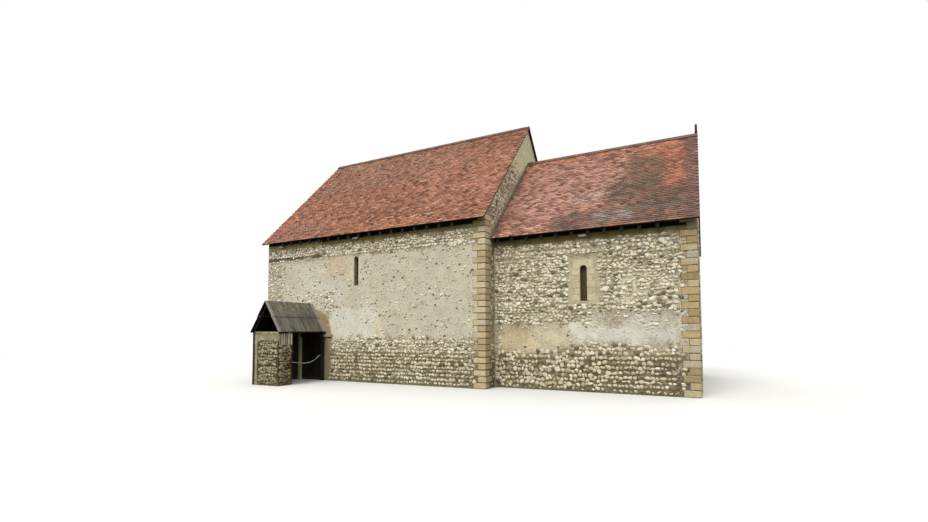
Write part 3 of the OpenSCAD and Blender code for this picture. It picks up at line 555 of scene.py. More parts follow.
# Roofs, in metres from the CAD: half the width, the length of the walls, height over the wall face, ridge
roofs = {
    "nave": {"half": round((naveNorth - naveSouth) / 2, 2), "long": round(east - west, 2), "eave": 5.75,
             "ridge": 10.06, "node": "nave_roof_{}_tiles"},
    "chancel": {"half": round((chancelNorth - chancelSouth) / 2, 2), "long": round(chancelEast - east, 2),
                "eave": 5.16, "ridge": 8.56, "node": "chancel_roof_{}_tiles"},
}
nave, chancel = roofs["nave"], roofs["chancel"]
tiling = {"width": 0.165, "length": 0.265, "thick": 0.0125, "joint": 0.0012, "camber": 0.004, "gauge": 0.1,
          "step": 0.012, "short": 0.012, "reach": 0.3, "depth": 0.07, "sink": 0.003, "slip": 0.004,
          "seed": 11}

for roof in roofs.values():
    roof["pitch"] = math.atan2(roof["ridge"] - roof["eave"], roof["half"])
    roof["out"] = roof["half"] + tiling["reach"]
    roof["slope"] = roof["out"] / math.cos(roof["pitch"])
    roof["foot"] = roof["eave"] - tiling["reach"] * math.tan(roof["pitch"])
    nodeLow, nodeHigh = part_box(roof["node"].format("south"))
    roof["ends"] = (nodeLow.x, nodeHigh.x)


def roofHeight(roof, off, depth=0.0):
    # Height of a plane under the tiles' surface, at a distance from the ridge line
    surface = roof["eave"] + (roof["half"] - abs(off)) * math.tan(roof["pitch"])
    return surface - depth / math.cos(roof["pitch"])


def tileMesh():
    half, camber = tiling["width"] / 2 - tiling["joint"], tiling["camber"]
    ends = (0, tiling["length"])
    points = [(x * half, y, z) for y in ends for x, z in ((-1, -camber), (0, 0), (1, -camber))]
    points += [(x * half, y, -camber - tiling["thick"]) for y in ends for x in (-1, 1)]
    faces = [[0, 1, 4, 3], [1, 2, 5, 4], [6, 8, 9, 7], [0, 6, 7, 2, 1], [3, 4, 5, 9, 8], [0, 3, 8, 6],
             [2, 7, 9, 5]]
    mesh = bpy.data.meshes.new("tile")
    mesh.from_pydata(points, [], turnedOut(points, faces))
    return mesh


def tileFinish(name, mean, start, patches, streaks=0.35):
    # Fired clay, each tile in a tone of its own; the patches are measured from the start along the roof
    f = Finish(name, 0.85, 0.25)
    tone = f.read("tone")
    colour = f.ramp(tone, ((0.0, (0.10, 0.050, 0.036)), (0.12, (0.22, 0.095, 0.062)),
                           (0.45, (0.36, 0.160, 0.100)), (0.8, (0.43, 0.205, 0.132)),
                           (0.94, (0.49, 0.26, 0.175)), (1.0, (0.60, 0.41, 0.30))))
    colour = f.mix(1.0, colour, mean, "MULTIPLY")
    grain = f.shade((0.95, 0.95, 0.95), tone, 0.72, 1.24)
    mottle = f.fade(f.maths("MULTIPLY_ADD", tone, 0.25, f.clouds(3.4, 5)), 0.40, 0.62)
    for limits, tint, share, wobble in patches:
        inside = f.times(f.patch(limits, start, 0.25 * wobble, wobble, 0.9), share)
        colour = f.mix(f.times(inside, mottle), colour, f.mix(1.0, tint, grain, "MULTIPLY"))
    colour = f.shade(colour, f.clouds(0.7, 4), 0.86, 1.12)
    blotch = f.times(f.fade(f.clouds(16, 5), 0.58, 0.72), 0.4)
    colour = f.mix(blotch, colour, (0.27, 0.23, 0.165))
    streak = f.fade(f.clouds(1.0, 5, f.stretched((2.2, 9, 9))), 0.52, 0.66)
    colour = f.mix(f.times(streak, streaks), colour, (0.075, 0.05, 0.038))
    dark = f.times(f.fade(f.clouds(26, 4), 0.55, 0.75), 0.5)
    f.paint(f.mix(dark, colour, (0.07, 0.045, 0.034)))
    f.bump(f.clouds(110, 5), 0.003, 0.7)
    return f


def tileFinishes():
    # Each patch: its limits along the roof and up, colour, strength, raggedness
    naveClay = tileFinish("naveClayTile", (0.76, 0.69, 0.63), west, (
        ((0.5, 7.9, 7.5, 9.9), (0.27, 0.165, 0.112), 0.4, 1.3),
        ((6.4, 6.3, 10.2, 9.2), (0.36, 0.155, 0.105), 0.35, 1.2),
        ((-0.2, 5.4, 3.0, 6.3), (0.29, 0.135, 0.10), 0.5, 0.6),
        ((7.6, 8.4, 8.3, 8.9), (0.20, 0.18, 0.125), 0.35, 0.6)))
    mossy, sooty = (0.115, 0.082, 0.056), (0.125, 0.082, 0.062)
    chancelClay = tileFinish("chancelClayTile", (0.84, 0.84, 0.86), east, (
        ((-0.1, 5.2, 3.9, 8.2), (0.41, 0.225, 0.18), 0.5, 1.2),
        ((0.6, 8.12, 3.9, 8.6), (0.42, 0.16, 0.085), 0.5, 0.5),
        ((4.3, 5.8, 6.0, 8.3), (0.37, 0.125, 0.065), 0.7, 1.0),
        ((4.1, 6.3, 5.1, 7.8), mossy, 0.8, 0.9),
        ((3.5, 5.6, 5.1, 6.7), mossy, 0.85, 0.9),
        ((4.9, 5.35, 6.3, 6.1), mossy, 0.85, 0.7),
        ((2.0, 4.8, 6.5, 5.6), sooty, 0.9, 0.7),
        ((2.4, 5.85, 3.4, 6.35), (0.37, 0.31, 0.275), 0.5, 0.6),
        ((3.3, 5.1, 4.4, 5.45), (0.34, 0.29, 0.26), 0.45, 0.6),
        ((5.8, 4.8, 6.5, 8.6), (0.13, 0.075, 0.06), 0.85, 0.8)), streaks=0.8)
    return {"nave": naveClay, "chancel": chancelClay}


def hangTiles():
    rule = tileRule()
    tile = addObject("tileShape", tileMesh())
    finishes = tileFinishes()
    for part, roof in roofs.items():
        courses = round(roof["slope"] / tiling["gauge"])
        x0, x1 = roof["ends"]
        across = round((x1 - x0) / tiling["width"])
        for side, turn in (("south", 0.0), ("north", math.pi)):
            start = (x0, middle - roof["out"]) if side == "south" else (x1, middle + roof["out"])
            piece = rule.run(part + side.capitalize() + "Tiles", {
                "Tile": tile, "Courses": courses, "Across": across, "Gauge": roof["slope"] / courses,
                "Tile width": (x1 - x0) / across, "Tile length": tiling["length"],
                "Slope length": roof["slope"] - tiling["short"],
                "Tilt": math.atan2(tiling["step"], tiling["gauge"]), "Sink": tiling["sink"],
                "Slip": tiling["slip"], "Seed": tiling["seed"] + courses + int(turn),
                "Place": (*start, roof["foot"]), "Turn": (roof["pitch"], 0.0, turn),
                "Finish": finishes[part].material})
            finished(piece)
            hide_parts(roof["node"].format(side))
            print(piece.name, len(piece.data.polygons), "faces")
    bpy.data.objects.remove(tile)


hangTiles()


def alongSlope(roof, side, outline, x0, x1, pile, tone=0.5):
    # A bar along X, its outline given as (up the slope, under the surface)
    sign = -1 if side == "south" else 1
    p = roof["pitch"]
    ring = []
    for up, depth in outline:
        off = roof["out"] - up * math.cos(p) - depth * math.sin(p)
        ring.append((middle + sign * off, roof["foot"] + up * math.sin(p) - depth * math.cos(p)))
    sides = len(ring)
    points = [(x, *q) for x in (x0, x1) for q in ring]
    faces = band(sides) + [list(range(sides)), list(range(sides, 2 * sides))]
    pile.add(points, turnedOut(points, faces), tone)


boarding = {"width": 0.18, "joint": 0.003, "depth": (0.0445, 0.07), "start": 0.02, "fillet": 0.19,
            "filletTop": 0.026, "inset": 0.012, "short": 0.005}


def roofBoarding():
    # Boards under the tiles, and a tilting fillet at the eaves
    f = Finish("roofBoards", 0.9, 0.15)
    grain = f.clouds(3, 6, f.stretched((0.6, 12, 12)))
    f.paint(f.mix(f.fade(grain, 0.3, 0.7), (0.020, 0.015, 0.011), (0.055, 0.040, 0.028)))
    f.bump(grain, 0.004, 0.6)
    top, bottom = boarding["depth"]
    for part, roof in roofs.items():
        ends = (roof["ends"][0] + boarding["inset"], roof["ends"][1] - boarding["inset"])
        pile = Pile()
        start = boarding["start"]
        end = roof["slope"] - bottom * math.tan(roof["pitch"]) - boarding["short"]
        count = round((end - start) / boarding["width"])
        step = (end - start) / count
        fillet = ((start, boarding["filletTop"]), (start, top), (start + boarding["fillet"], top))
        for side in ("south", "north"):
            alongSlope(roof, side, fillet, *ends, pile)
            for i in range(count):
                foot = start + i * step
                head = foot + step - boarding["joint"]
                board = ((foot, top), (foot, bottom), (head, bottom), (head, top))
                alongSlope(roof, side, board, *ends, pile)
        pile.piece(part + "RoofBoarding", f, "oak_timber")


roofBoarding()
print("roofs tiled")


def limeMortar(name="limeMortar", dark=(0.40, 0.35, 0.24), light=(0.62, 0.57, 0.44)):
    f = Finish(name, 0.95, 0.1)
    lump = f.clouds(14, 5)
    colour = f.mix(f.fade(lump, 0.35, 0.7), dark, light)
    f.paint(f.shade(colour, f.clouds(2.2, 3), 0.85, 1.12))
    f.bump(f.clouds(60, 5), 0.004, 0.8)
    return f


ridgeBed = {"leg": 0.17, "share": 0.985, "thick": (0.001, 0.013), "inset": 0.01}
gableFillet = {"run": (0.16, 0.3), "wide": (0.045, 0.075), "proud": (0.02, 0.035), "sunk": 0.014,
               "foot": 0.03, "short": 0.02, "last": 0.05, "lap": 0.004, "let": 0.01}


def bedRidges():
    # Mortar under the ridge tiles, and a fillet where the chancel roof meets the nave's gable
    f = limeMortar("ridgeMortar", (0.13, 0.105, 0.07), (0.24, 0.20, 0.14))
    pile = Pile()
    over, thick = (-depth for depth in ridgeBed["thick"])
    for roof in roofs.values():
        x0, x1 = roof["ends"]
        end = roof["slope"] - 0.001
        start = end - ridgeBed["leg"] * ridgeBed["share"]
        for side in ("south", "north"):
            alongSlope(roof, side, ((start, thick), (start, over), (end, over), (end, thick)),
                       x0 + ridgeBed["inset"], x1 - ridgeBed["inset"], pile)
    pile.piece("ridgeBedding", f, "clay_tile")
    dice = random.Random(5)
    pile = Pile()
    sunk = gableFillet["sunk"]
    for side in ("south", "north"):
        up = gableFillet["foot"]
        while up < chancel["slope"] - gableFillet["last"]:
            end = min(up + dice.uniform(*gableFillet["run"]), chancel["slope"] - gableFillet["short"])
            wide = dice.uniform(*gableFillet["wide"])
            alongSlope(chancel, side, ((up, sunk), (up, -dice.uniform(*gableFillet["proud"])),
                                       (end, -dice.uniform(*gableFillet["proud"])), (end, sunk)),
                       east - gableFillet["let"], east + wide, pile)
            up = end - gableFillet["lap"]
    pile.piece("gableFillet", f, "flint_walling")


bedRidges()


# Flints: the height of a course and the length of a flint, how far it stands out, its share of its place
flintwork = {"rise": (0.078, 0.112), "run": (0.095, 0.175), "proud": (0.018, 0.038), "sides": 6, "kinds": 9,
             "bed": (0.115, 0.150), "bedsTop": 1.2, "spin": 0.55, "spread": 0.15, "widest": 1.27,
             "long": 0.64, "tall": 0.62, "bedTall": 0.51, "sunk": 0.78, "foot": 0.03, "ends": 10}
# The porch's wall and roof, the windows, corner stones, doorway and lamps, in metres from the CAD
porchWall = {"flintTop": 1.62, "west": doorX - 0.54, "return": 0.56, "thick": 0.25,
             "column": 0.14, "bars": 1.38, "scale": 0.95}
porchRoof = {"ridge": 2.926, "eave": 1.895, "half": 0.71, "long": 2.12, "boards": 14, "lap": 0.46,
             "step": 0.0387, "sideLong": 2.05}
slit = {"half": 0.105, "naveX": 4.705, "naveZ": 3.53, "chancelX": 2.97, "chancelZ": 2.72, "tall": 1.08}
quoins = {"rise": 0.2, "long": 0.45, "short": 0.28}
doorStones = {"half": 0.86, "top": 1.8, "spring": 1.74, "reach": 1.0}
lamps = {"nave": (0.85, 4.7), "chancel": (2.99,), "down": 0.23, "long": 0.26, "tall": 0.08, "out": 0.09,
         "ribs": 14, "rib": 0.004}
wallHead = 0.19  # how far the walls' tops are under the tiles' surface


def inBox(u, z, box, room=0.0):
    return box[0] - room < u < box[2] + room and box[1] - room < z < box[3] + room


def slitGap(u, sill, extra):
    return (u - slit["half"] - extra, sill - 0.02, u + slit["half"] + extra, sill + slit["tall"] + extra)


def ragged(u, z, seed, scale=1.6):
    return noise.noise(Vector((u * scale, z * scale, seed * 7.3)))


def coverNaveSouth(u, z):
    # How far render and mortar hide the flints: 0 shows them whole, 1 hides them
    wave = ragged(u, z, 1)
    if z > 5.14 + 0.08 * wave:
        return 2  # the band under the eaves
    if u < 3.1 and abs(z - 4.76 - 0.12 * wave) < 0.05:
        return 2  # a seam of bare mortar
    if z > 4.68 + 0.12 * wave:
        return 0.1  # bare flints below the band
    if u < 0.9 + 0.5 * wave:
        return 0.4  # thinner at the west end
    if 2.1 < u < 3.6 and 2.45 < z < 3.3 + 0.3 * wave:
        return 0.3  # worn thin
    if z < 1.58 + 0.2 * wave:
        return 0.1  # bare flints at the foot
    if 3.45 < u < 5.6 and z < 2.7 + 0.2 * wave:
        return 0.97  # hardly a flint shows
    return 0.78 + 0.3 * wave


# A ring of old mortar on the chancel's south wall
oldRing = {"u": 4.27, "z": 3.04, "half": (0.18, 0.31), "wide": 0.035, "bare": 0.22,
           "colour": (0.68, 0.61, 0.45)}


def coverChancelSouth(u, z):
    wave = ragged(u, z, 2)
    if z > 4.57 + 0.10 * wave:
        return 2  # the band under the eaves
    across, up = (u - oldRing["u"]) / oldRing["half"][0], (z - oldRing["z"]) / oldRing["half"][1]
    if abs(math.hypot(across, up) - 1) < oldRing["bare"]:
        return 0.9
    if inBox(u, z, (0.25, 1.22, 2.5, 1.98), 0.2 * wave) or inBox(u, z, (2.5, 1.42, 5.7, 2.02), 0.2 * wave):
        return 0.95  # two lengths of mortar side by side
    if 3.2 < u and 2.0 < z < 2.45 + 0.2 * wave:
        return 0.6  # and thinner mortar above the second
    return 0.06 + 0.4 * max(0.0, wave)


def coverEastGable(u, z):
    return 0.9 if z > 8.0 + 0.3 * ragged(u, z, 4) else coverPlain(u, z)


def coverPlain(u, z):
    wave = ragged(u, z, 3, 0.8)
    return 0.12 + (0.7 if wave > 0.42 else 0.0) + 0.15 * max(0.0, wave)


def topOfWall(roof):
    return roofHeight(roof, roof["half"], wallHead) - 0.01


def gableTop(roof):
    return lambda u: roofHeight(roof, u - roof["half"], tiling["depth"]) - 0.015


def aroundDoor(u, z):
    # The doorway's stones, and the line where the porch roof meets the wall
    off = u - (doorX - west)
    if abs(off) < doorStones["half"] and z < doorStones["top"]:
        return True
    if math.hypot(off, z - doorStones["spring"]) < doorStones["reach"]:
        return True
    fall = porchRoof["ridge"] - porchRoof["eave"]
    roofLine = porchRoof["ridge"] - abs(off) * fall / porchRoof["half"]
    return abs(off) < porchRoof["half"] + 0.07 and abs(z - roofLine) < 0.11


def quoinGap(corner, startsLong, sign):
    # Leaves out the corner stones at one end of a face
    def gap(u, z):
        course = int(z / quoins["rise"])
        reach = quoins["long"] if (course % 2 == 0) == startsLong else quoins["short"]
        return (u - corner) * sign > -reach - 0.03
    return gap


def lampGap(u, roof):
    # The lamp, and a little room round it
    z = topOfWall(roof) - lamps["down"]
    reach = lamps["long"] / 2 + 0.02
    return (u - reach, z - 0.02, u + reach, z + lamps["tall"] + 0.04)


def chancelRoofGap(u, z):
    # What the chancel and its roof hide of the nave's east wall
    off = abs(u - nave["half"])
    if off < chancel["half"] + 0.02 and z < roofHeight(chancel, off) + 0.06:
        return True
    return off < chancel["out"] + 0.05 and abs(z - roofHeight(chancel, off, 0.05)) < 0.16


# Each face runs from its start along its heading; its boxes and gaps are left without flints
wallFaces = (
    {"name": "naveSouthFlints", "start": (west, naveSouth), "heading": 0, "run": nave["long"],
     "top": lambda u: topOfWall(nave), "cover": coverNaveSouth,
     "boxes": [slitGap(slit["naveX"], slit["naveZ"], 0.03)] + [lampGap(u, nave) for u in lamps["nave"]],
     "gaps": [aroundDoor, quoinGap(nave["long"], True, 1)]},
    {"name": "chancelSouthFlints", "start": (east, chancelSouth), "heading": 0, "run": chancel["long"],
     "top": lambda u: topOfWall(chancel), "cover": coverChancelSouth, "bedsFrom": 3.4,
     "boxes": [slitGap(slit["chancelX"], slit["chancelZ"], 0.3)]
              + [lampGap(u, chancel) for u in lamps["chancel"]],
     "gaps": [quoinGap(chancel["long"], True, 1)]},
    {"name": "naveNorthFlints", "start": (east, naveNorth), "heading": 180, "run": nave["long"],
     "top": lambda u: topOfWall(nave), "cover": coverPlain,
     "boxes": [slitGap(nave["long"] - slit["naveX"], slit["naveZ"], 0.03)], "gaps": [quoinGap(0, True, -1)]},
    {"name": "chancelNorthFlints", "start": (chancelEast, chancelNorth), "heading": 180,
     "run": chancel["long"], "top": lambda u: topOfWall(chancel), "cover": coverPlain,
     "boxes": [slitGap(chancel["long"] - slit["chancelX"], slit["chancelZ"], 0.3)],
     "gaps": [quoinGap(0, True, -1)]},
    {"name": "naveWestFlints", "start": (west, naveNorth), "heading": -90, "run": 2 * nave["half"],
     "top": gableTop(nave), "cover": coverPlain,
     "boxes": [slitGap(nave["half"], slit["naveZ"], 0.03)], "gaps": []},
    {"name": "chancelEastFlints", "start": (chancelEast, chancelSouth), "heading": 90,
     "run": 2 * chancel["half"], "top": gableTop(chancel), "cover": coverPlain,
     "boxes": [slitGap(chancel["half"], slit["chancelZ"], 0.3)],
     "gaps": [quoinGap(0, False, -1), quoinGap(2 * chancel["half"], False, 1)]},
    {"name": "naveEastFlints", "start": (east, naveSouth), "heading": 90, "run": 2 * nave["half"],
     "top": gableTop(nave), "cover": coverEastGable, "boxes": [],
     "gaps": [chancelRoofGap, quoinGap(0, False, -1), quoinGap(2 * nave["half"], False, 1)]},
)
porchFaces = (
    {"start": (porchWall["west"], porchFront), "heading": 0, "run": porchEast - porchWall["west"],
     "gaps": [lambda u, z: u < porchWall["column"]]},
    {"start": (porchEast, porchFront), "heading": 90, "run": porchWall["return"],
     "gaps": [lambda u, z: z > porchWall["bars"]]},
    {"start": (porchEast - porchWall["thick"], porchFront + porchWall["thick"]), "heading": 180,
     "run": porchEast - porchWall["west"] - porchWall["thick"]},
)


def flintShape(dice):
    # An uneven knob of flint with its back let into the wall; the rim marks its foot, where the shader paints
    # shade
    sides = flintwork["sides"]
    points = []
    radii = [dice.uniform(0.70, 1.18) for _ in range(sides)]
    for reach, height in ((1.0, -0.4), (dice.uniform(0.70, 0.84), dice.uniform(0.45, 0.75))):
        for k in range(sides):
            angle = 2 * math.pi * k / sides + dice.uniform(-0.16, 0.16)
            radius = radii[k] * reach * dice.uniform(0.93, 1.07)
            points.append((radius * math.cos(angle), radius * math.sin(angle),
                           height + dice.uniform(-0.1, 0.1)))
    points.append((dice.uniform(-0.35, 0.35), dice.uniform(-0.3, 0.3), 1.0))
    mesh = bpy.data.meshes.new("flint")
    mesh.from_pydata(points, [], knob(sides))
    mesh.attributes.new("rim", "FLOAT", "POINT").data.foreach_set(
        "value", [0.0] * sides + [0.75] * sides + [1.0])
    return mesh


def layFlints(face, dice):
    heading = math.radians(face["heading"])
    ahead = Vector((math.cos(heading), math.sin(heading), 0))
    start = Vector((*face["start"], 0))
    scale = face.get("scale", 1)
    places = []
    z = flintwork["foot"]
    while z < flintwork["ends"]:
        inBeds = z < face.get("bedsTop", flintwork["bedsTop"])
        rise = dice.uniform(*flintwork["bed" if inBeds else "rise"]) * scale
        row = dice.uniform(0.0, 50.0)
        u = dice.uniform(0.0, 0.05)
        while u < face["run"] - 0.04:
            run = dice.uniform(*flintwork["run"]) * dice.choice((0.75, 1.0, 1.0, 1.25)) * scale
            spot = u + run / 2
            u += run
            sway = 0.05 * noise.noise(Vector((spot * 0.9, row, 0))) + dice.uniform(-0.3, 0.3) * rise
            level = inBeds and spot > face.get("bedsFrom", 0)
            tall = z + rise / 2 + (0.5 * sway if level else sway)
            if spot + run / 2 > face["run"] - 0.01 or tall + rise / 2 > face["top"](spot) or tall < 0.04:
                continue
            if any(inBox(spot, tall, box, 0.5 * run) for box in face.get("boxes", ())):
                continue
            if any(gap(spot + s * run / 2, tall) for gap in face.get("gaps", ()) for s in (-1, 1)):
                continue
            hidden = face["cover"](spot, tall)
            if dice.random() < hidden - 0.12:
                continue
            shown = 1 - flintwork["sunk"] * hidden * dice.uniform(0.5, 1.1)
            upright = flintwork["bedTall" if level else "tall"] * rise * shown * dice.uniform(0.75, 1.15)
            size = (flintwork["long"] * run * shown, upright,
                    dice.uniform(*flintwork["proud"]) * (0.4 + 0.6 * shown))
            # The lowest flints are made small enough to stay above the base, however they are spun
            reach = math.hypot(size[0] * math.sin(flintwork["spin"]), size[1])
            reach = reach * (1 + flintwork["spread"]) * flintwork["widest"]
            fit = min(1.0, (tall - 0.003) / reach)
            size = (size[0] * fit, size[1] * fit, size[2])
            bias = dice.uniform(-0.45, 0.3) if hidden > 0.5 else dice.uniform(-0.08, 0.08)
            turn = (math.pi / 2, 0.0, heading)
            places.append((start + ahead * spot + Vector((0, 0, tall)), turn, size, bias))
        z += rise
    return places


def flintFinish(name="knappedFlint", level=(1.0, 1.0, 1.0)):
    f = Finish(name, 0.75, 0.3)
    colour = f.ramp(f.read("tone"), ((0.0, (0.15, 0.135, 0.10)), (0.06, (0.24, 0.205, 0.145)),
                                     (0.15, (0.46, 0.39, 0.27)), (0.36, (0.66, 0.585, 0.435)),
                                     (0.70, (0.77, 0.705, 0.56)), (1.0, (0.88, 0.85, 0.76))))
    colour = f.shade(colour, f.clouds(22, 5), 0.74, 1.2)
    stain = f.times(f.fade(f.clouds(34, 4), 0.54, 0.66), 0.6)
    colour = f.mix(stain, colour, (0.15, 0.12, 0.07))
    colour = f.mix(1.0, colour, level, "MULTIPLY")
    colour = f.mix(f.fade(f.z, 1.4, 1.0), colour, f.mix(1.0, colour, (0.89, 0.86, 0.77), "MULTIPLY"))
    # Painted shade round each flint's foot, where it meets the mortar
    foot = f.times(f.fade(f.read("rim"), 0.62, 0.15), 0.7)
    f.paint(f.mix(foot, colour, (0.10, 0.08, 0.045)))
    f.bump(f.clouds(45, 5), 0.006, 0.7)
    return f


def setFlints():
    dice = random.Random(23)
    rule = settingRule()
    shapes = shapeStore("flints", [flintShape(dice) for _ in range(flintwork["kinds"])])
    finish, shaded = flintFinish(), flintFinish("porchFlint", (0.56, 0.53, 0.45))
    porchOnly = {"top": lambda u: porchWall["flintTop"], "bedsTop": 0, "scale": porchWall["scale"],
                 "cover": lambda u, z: 0.05}
    porchPlaces = []
    for face in porchFaces:
        porchPlaces += layFlints({**face, **porchOnly}, dice)
    work = [(face["name"], layFlints(face, dice), finish) for face in wallFaces]
    work.append(("porchFlints", porchPlaces, shaded))
    for name, places, look in work:
        piece = rule.run(name, {
            "Shapes": shapes, "Kinds": flintwork["kinds"], "Spin": flintwork["spin"],
            "Spread": flintwork["spread"], "Seed": 40 + len(name), "Finish": look.material,
        }, placesMesh(name + "Places", places))
        finished(piece)
        print(name, len(places), "flints")
    clearStore(shapes)
    print("flints in all:", sum(len(places) for name, places, look in work))
    return rule


setInPlace = setFlints()


def wallFinish(name, front, start, patches, paintedShadeAndStains=(), room=None, gable=None, ring=None, beds=1.3, bedShade=0.6,
               base=((0.60, 0.52, 0.36), (0.45, 0.38, 0.245))):
    # Lime mortar with painted shade in the hollows between the flints, render patches on the front, plaster
    # on the room side;
    # patches, and the painted shade and stains laid over them, are measured along the wall from its start
    f = Finish(name, 0.95, 0.12)
    colour = f.mix(f.fade(f.clouds(1.1, 5), 0.38, 0.66), *base)
    # Painted shade in the hollows between the flints, and in dark lines along the low beds
    depth = f.maths("MULTIPLY_ADD", f.fade(f.z, beds, beds - 0.5), 0.25, 0.70)
    paintedHollowShade = f.times(f.fade(f.clouds(27, 4), 0.44, 0.56), depth)
    inBeds = f.fade(f.z, beds, beds - 0.3)
    paintedHollowShade = f.maths("MAXIMUM", paintedHollowShade, f.times(inBeds, f.fade(f.clouds(5, 4), 0.30, 0.50), bedShade))
    lengthwise = f.fade(f.clouds(1.0, 4, f.stretched((1.6, 1.6, 13))), 0.52, 0.62)
    paintedHollowShade = f.maths("MAXIMUM", paintedHollowShade, f.times(lengthwise, inBeds, 0.9))
    colour = f.mix(paintedHollowShade, colour, (0.070, 0.054, 0.027))
    smooth = 0.0
    onFront = f.fade(f.y, front + 0.05, front + 0.01)
    for limits, tint, share, soft, wobble in patches:
        inPatch = f.times(f.patch(limits, start, soft, wobble), share, onFront)
        colour = f.mix(inPatch, colour, tint)
        smooth = f.maths("MAXIMUM", smooth, inPatch)
    if ring:
        across, up = (f.maths("DIVIDE", f.maths("SUBTRACT", axis, centre), half) for axis, centre, half
                      in zip((f.x, f.z), (start + ring["u"], ring["z"]), ring["half"]))
        far = f.maths("SQRT", f.maths("ADD", f.times(across, across), f.times(up, up)))
        off = f.times(f.maths("ABSOLUTE", f.maths("SUBTRACT", far, 1.0)), ring["half"][0])
        off = f.maths("MULTIPLY_ADD", f.clouds(7, 3), 0.05, off)
        onRing = f.times(f.fade(off, ring["wide"] + 0.035, ring["wide"] + 0.015), onFront)
        colour = f.mix(f.times(onRing, 0.9), colour, ring["colour"])
        smooth = f.maths("MAXIMUM", smooth, onRing)
    if gable:
        onGable = f.times(f.fade(f.x, gable["x"] - 0.05, gable["x"] - 0.01),
                          f.fade(f.z, gable["from"] - 0.3, gable["from"] + 0.3), 0.85)
        colour = f.mix(onGable, colour, gable["colour"])
    fleck = f.times(f.fade(f.cells(1.0, f.stretched((12, 12, 17))), 0.32, 0.20),
                    f.fade(f.clouds(2.6, 4), 0.44, 0.60), 0.5)
    colour = f.mix(fleck, colour, (0.31, 0.27, 0.20))
    colour = f.shade(colour, f.clouds(3.1, 6), 0.86, 1.12)
    speck = f.times(f.fade(f.clouds(19, 5), 0.55, 0.66), 0.6)
    colour = f.mix(speck, colour, (0.24, 0.20, 0.135))
    cool = f.times(f.fade(f.clouds(2.1, 5), 0.52, 0.68), 0.3, smooth)
    colour = f.mix(cool, colour, (0.52, 0.51, 0.50))
    foot = f.times(f.fade(f.maths("MULTIPLY_ADD", f.clouds(2.5, 4), -0.5, f.z), 0.25, -0.15), 0.5)
    colour = f.mix(foot, colour, (0.17, 0.155, 0.085))
    # Painted shade and stains over the front: a dark seam, and near-black painted shade under the eaves and
    # in the porch
    for limits, tint, share, soft, wobble in paintedShadeAndStains:
        colour = f.mix(f.times(f.patch(limits, start, soft, wobble), share, onFront), colour, tint)
    if room:
        plaster = f.mix(f.clouds(1.3, 5), (0.70, 0.66, 0.56), (0.58, 0.53, 0.43))
        colour = f.mix(f.inBlock(room, 0.02), colour, f.shade(plaster, f.clouds(12, 5), 0.92, 1.06))
    f.paint(colour)
    lumps = f.times(f.clouds(17, 6), f.maths("MULTIPLY_ADD", smooth, -0.6, 1.0))
    f.bump(lumps, 0.022, 0.8)
    f.bump(f.clouds(130, 4), 0.003, 0.7)
    return f


# The tints of render on the walls, the olive of the mortar band under the eaves darkened with painted shade,
# and the black of painted shade with soot
render = {"cream": (0.60, 0.55, 0.435), "pale": (0.70, 0.67, 0.57), "olive": (0.33, 0.265, 0.115),
          "ochre": (0.62, 0.50, 0.32), "black": (0.014, 0.011, 0.006)}


def naveWalling():
    # Each patch: its limits along the wall and up, colour, strength, soft edge, raggedness
    cream, black = render["cream"], render["black"]
    patches = (
        ((0.9, 2.6, 10.2, 4.66), cream, 0.92, 0.1, 0.9),
        ((3.4, 1.6, 10.2, 2.9), cream, 0.9, 0.1, 0.9),
        ((-0.2, 2.6, 1.0, 4.7), (0.50, 0.46, 0.36), 0.6, 0.2, 0.9),
        ((3.45, 1.64, 5.7, 2.66), render["pale"], 0.95, 0.12, 0.5),
        ((1.9, 3.1, 4.0, 4.3), (0.64, 0.61, 0.53), 0.6, 0.4, 1.2),
        ((3.3, 3.9, 4.3, 4.7), (0.62, 0.46, 0.29), 0.55, 0.3, 0.8),
        ((4.25, 3.2, 4.6, 4.9), (0.64, 0.56, 0.38), 0.6, 0.1, 0.3),
        ((5.56, 1.6, 5.9, 2.4), (0.68, 0.60, 0.38), 0.8, 0.05, 0.1),
        ((5.68, 1.5, 5.70, 2.1), (0.10, 0.08, 0.05), 0.8, 0.012, 0.06),
        ((-0.2, 5.17, 3.2, 5.9), (0.56, 0.455, 0.235), 0.95, 0.03, 0.15),
        # The olive band under the eaves: mortar, its colour darkened with painted shade
        ((3.0, 5.10, 10.2, 5.9), render["olive"], 0.95, 0.05, 0.2))
    door = doorX - west
    # A dark seam, painted shade round the doorway under the porch, and near-black painted shade with soot
    # under the eaves
    paintedShadeAndStains = (
        ((-0.2, 4.71, 3.0, 4.81), (0.055, 0.043, 0.026), 0.85, 0.05, 0.34),
        ((door - 0.72, -0.2, door + 0.60, 2.1), black, 0.96, 0.03, 0.04),
        ((-0.2, 5.355, 3.2, 6.0), black, 0.98, 0.02, 0.05),
        ((3.0, 5.30, 10.2, 6.0), black, 0.98, 0.02, 0.06))
    return wallFinish("naveWalling", naveSouth, west, patches, paintedShadeAndStains,
                      room=((west + 0.12, east - 0.12), (naveSouth + 0.12, naveNorth - 0.12)),
                      gable={"x": east, "from": 7.8, "colour": (0.72, 0.68, 0.46)})


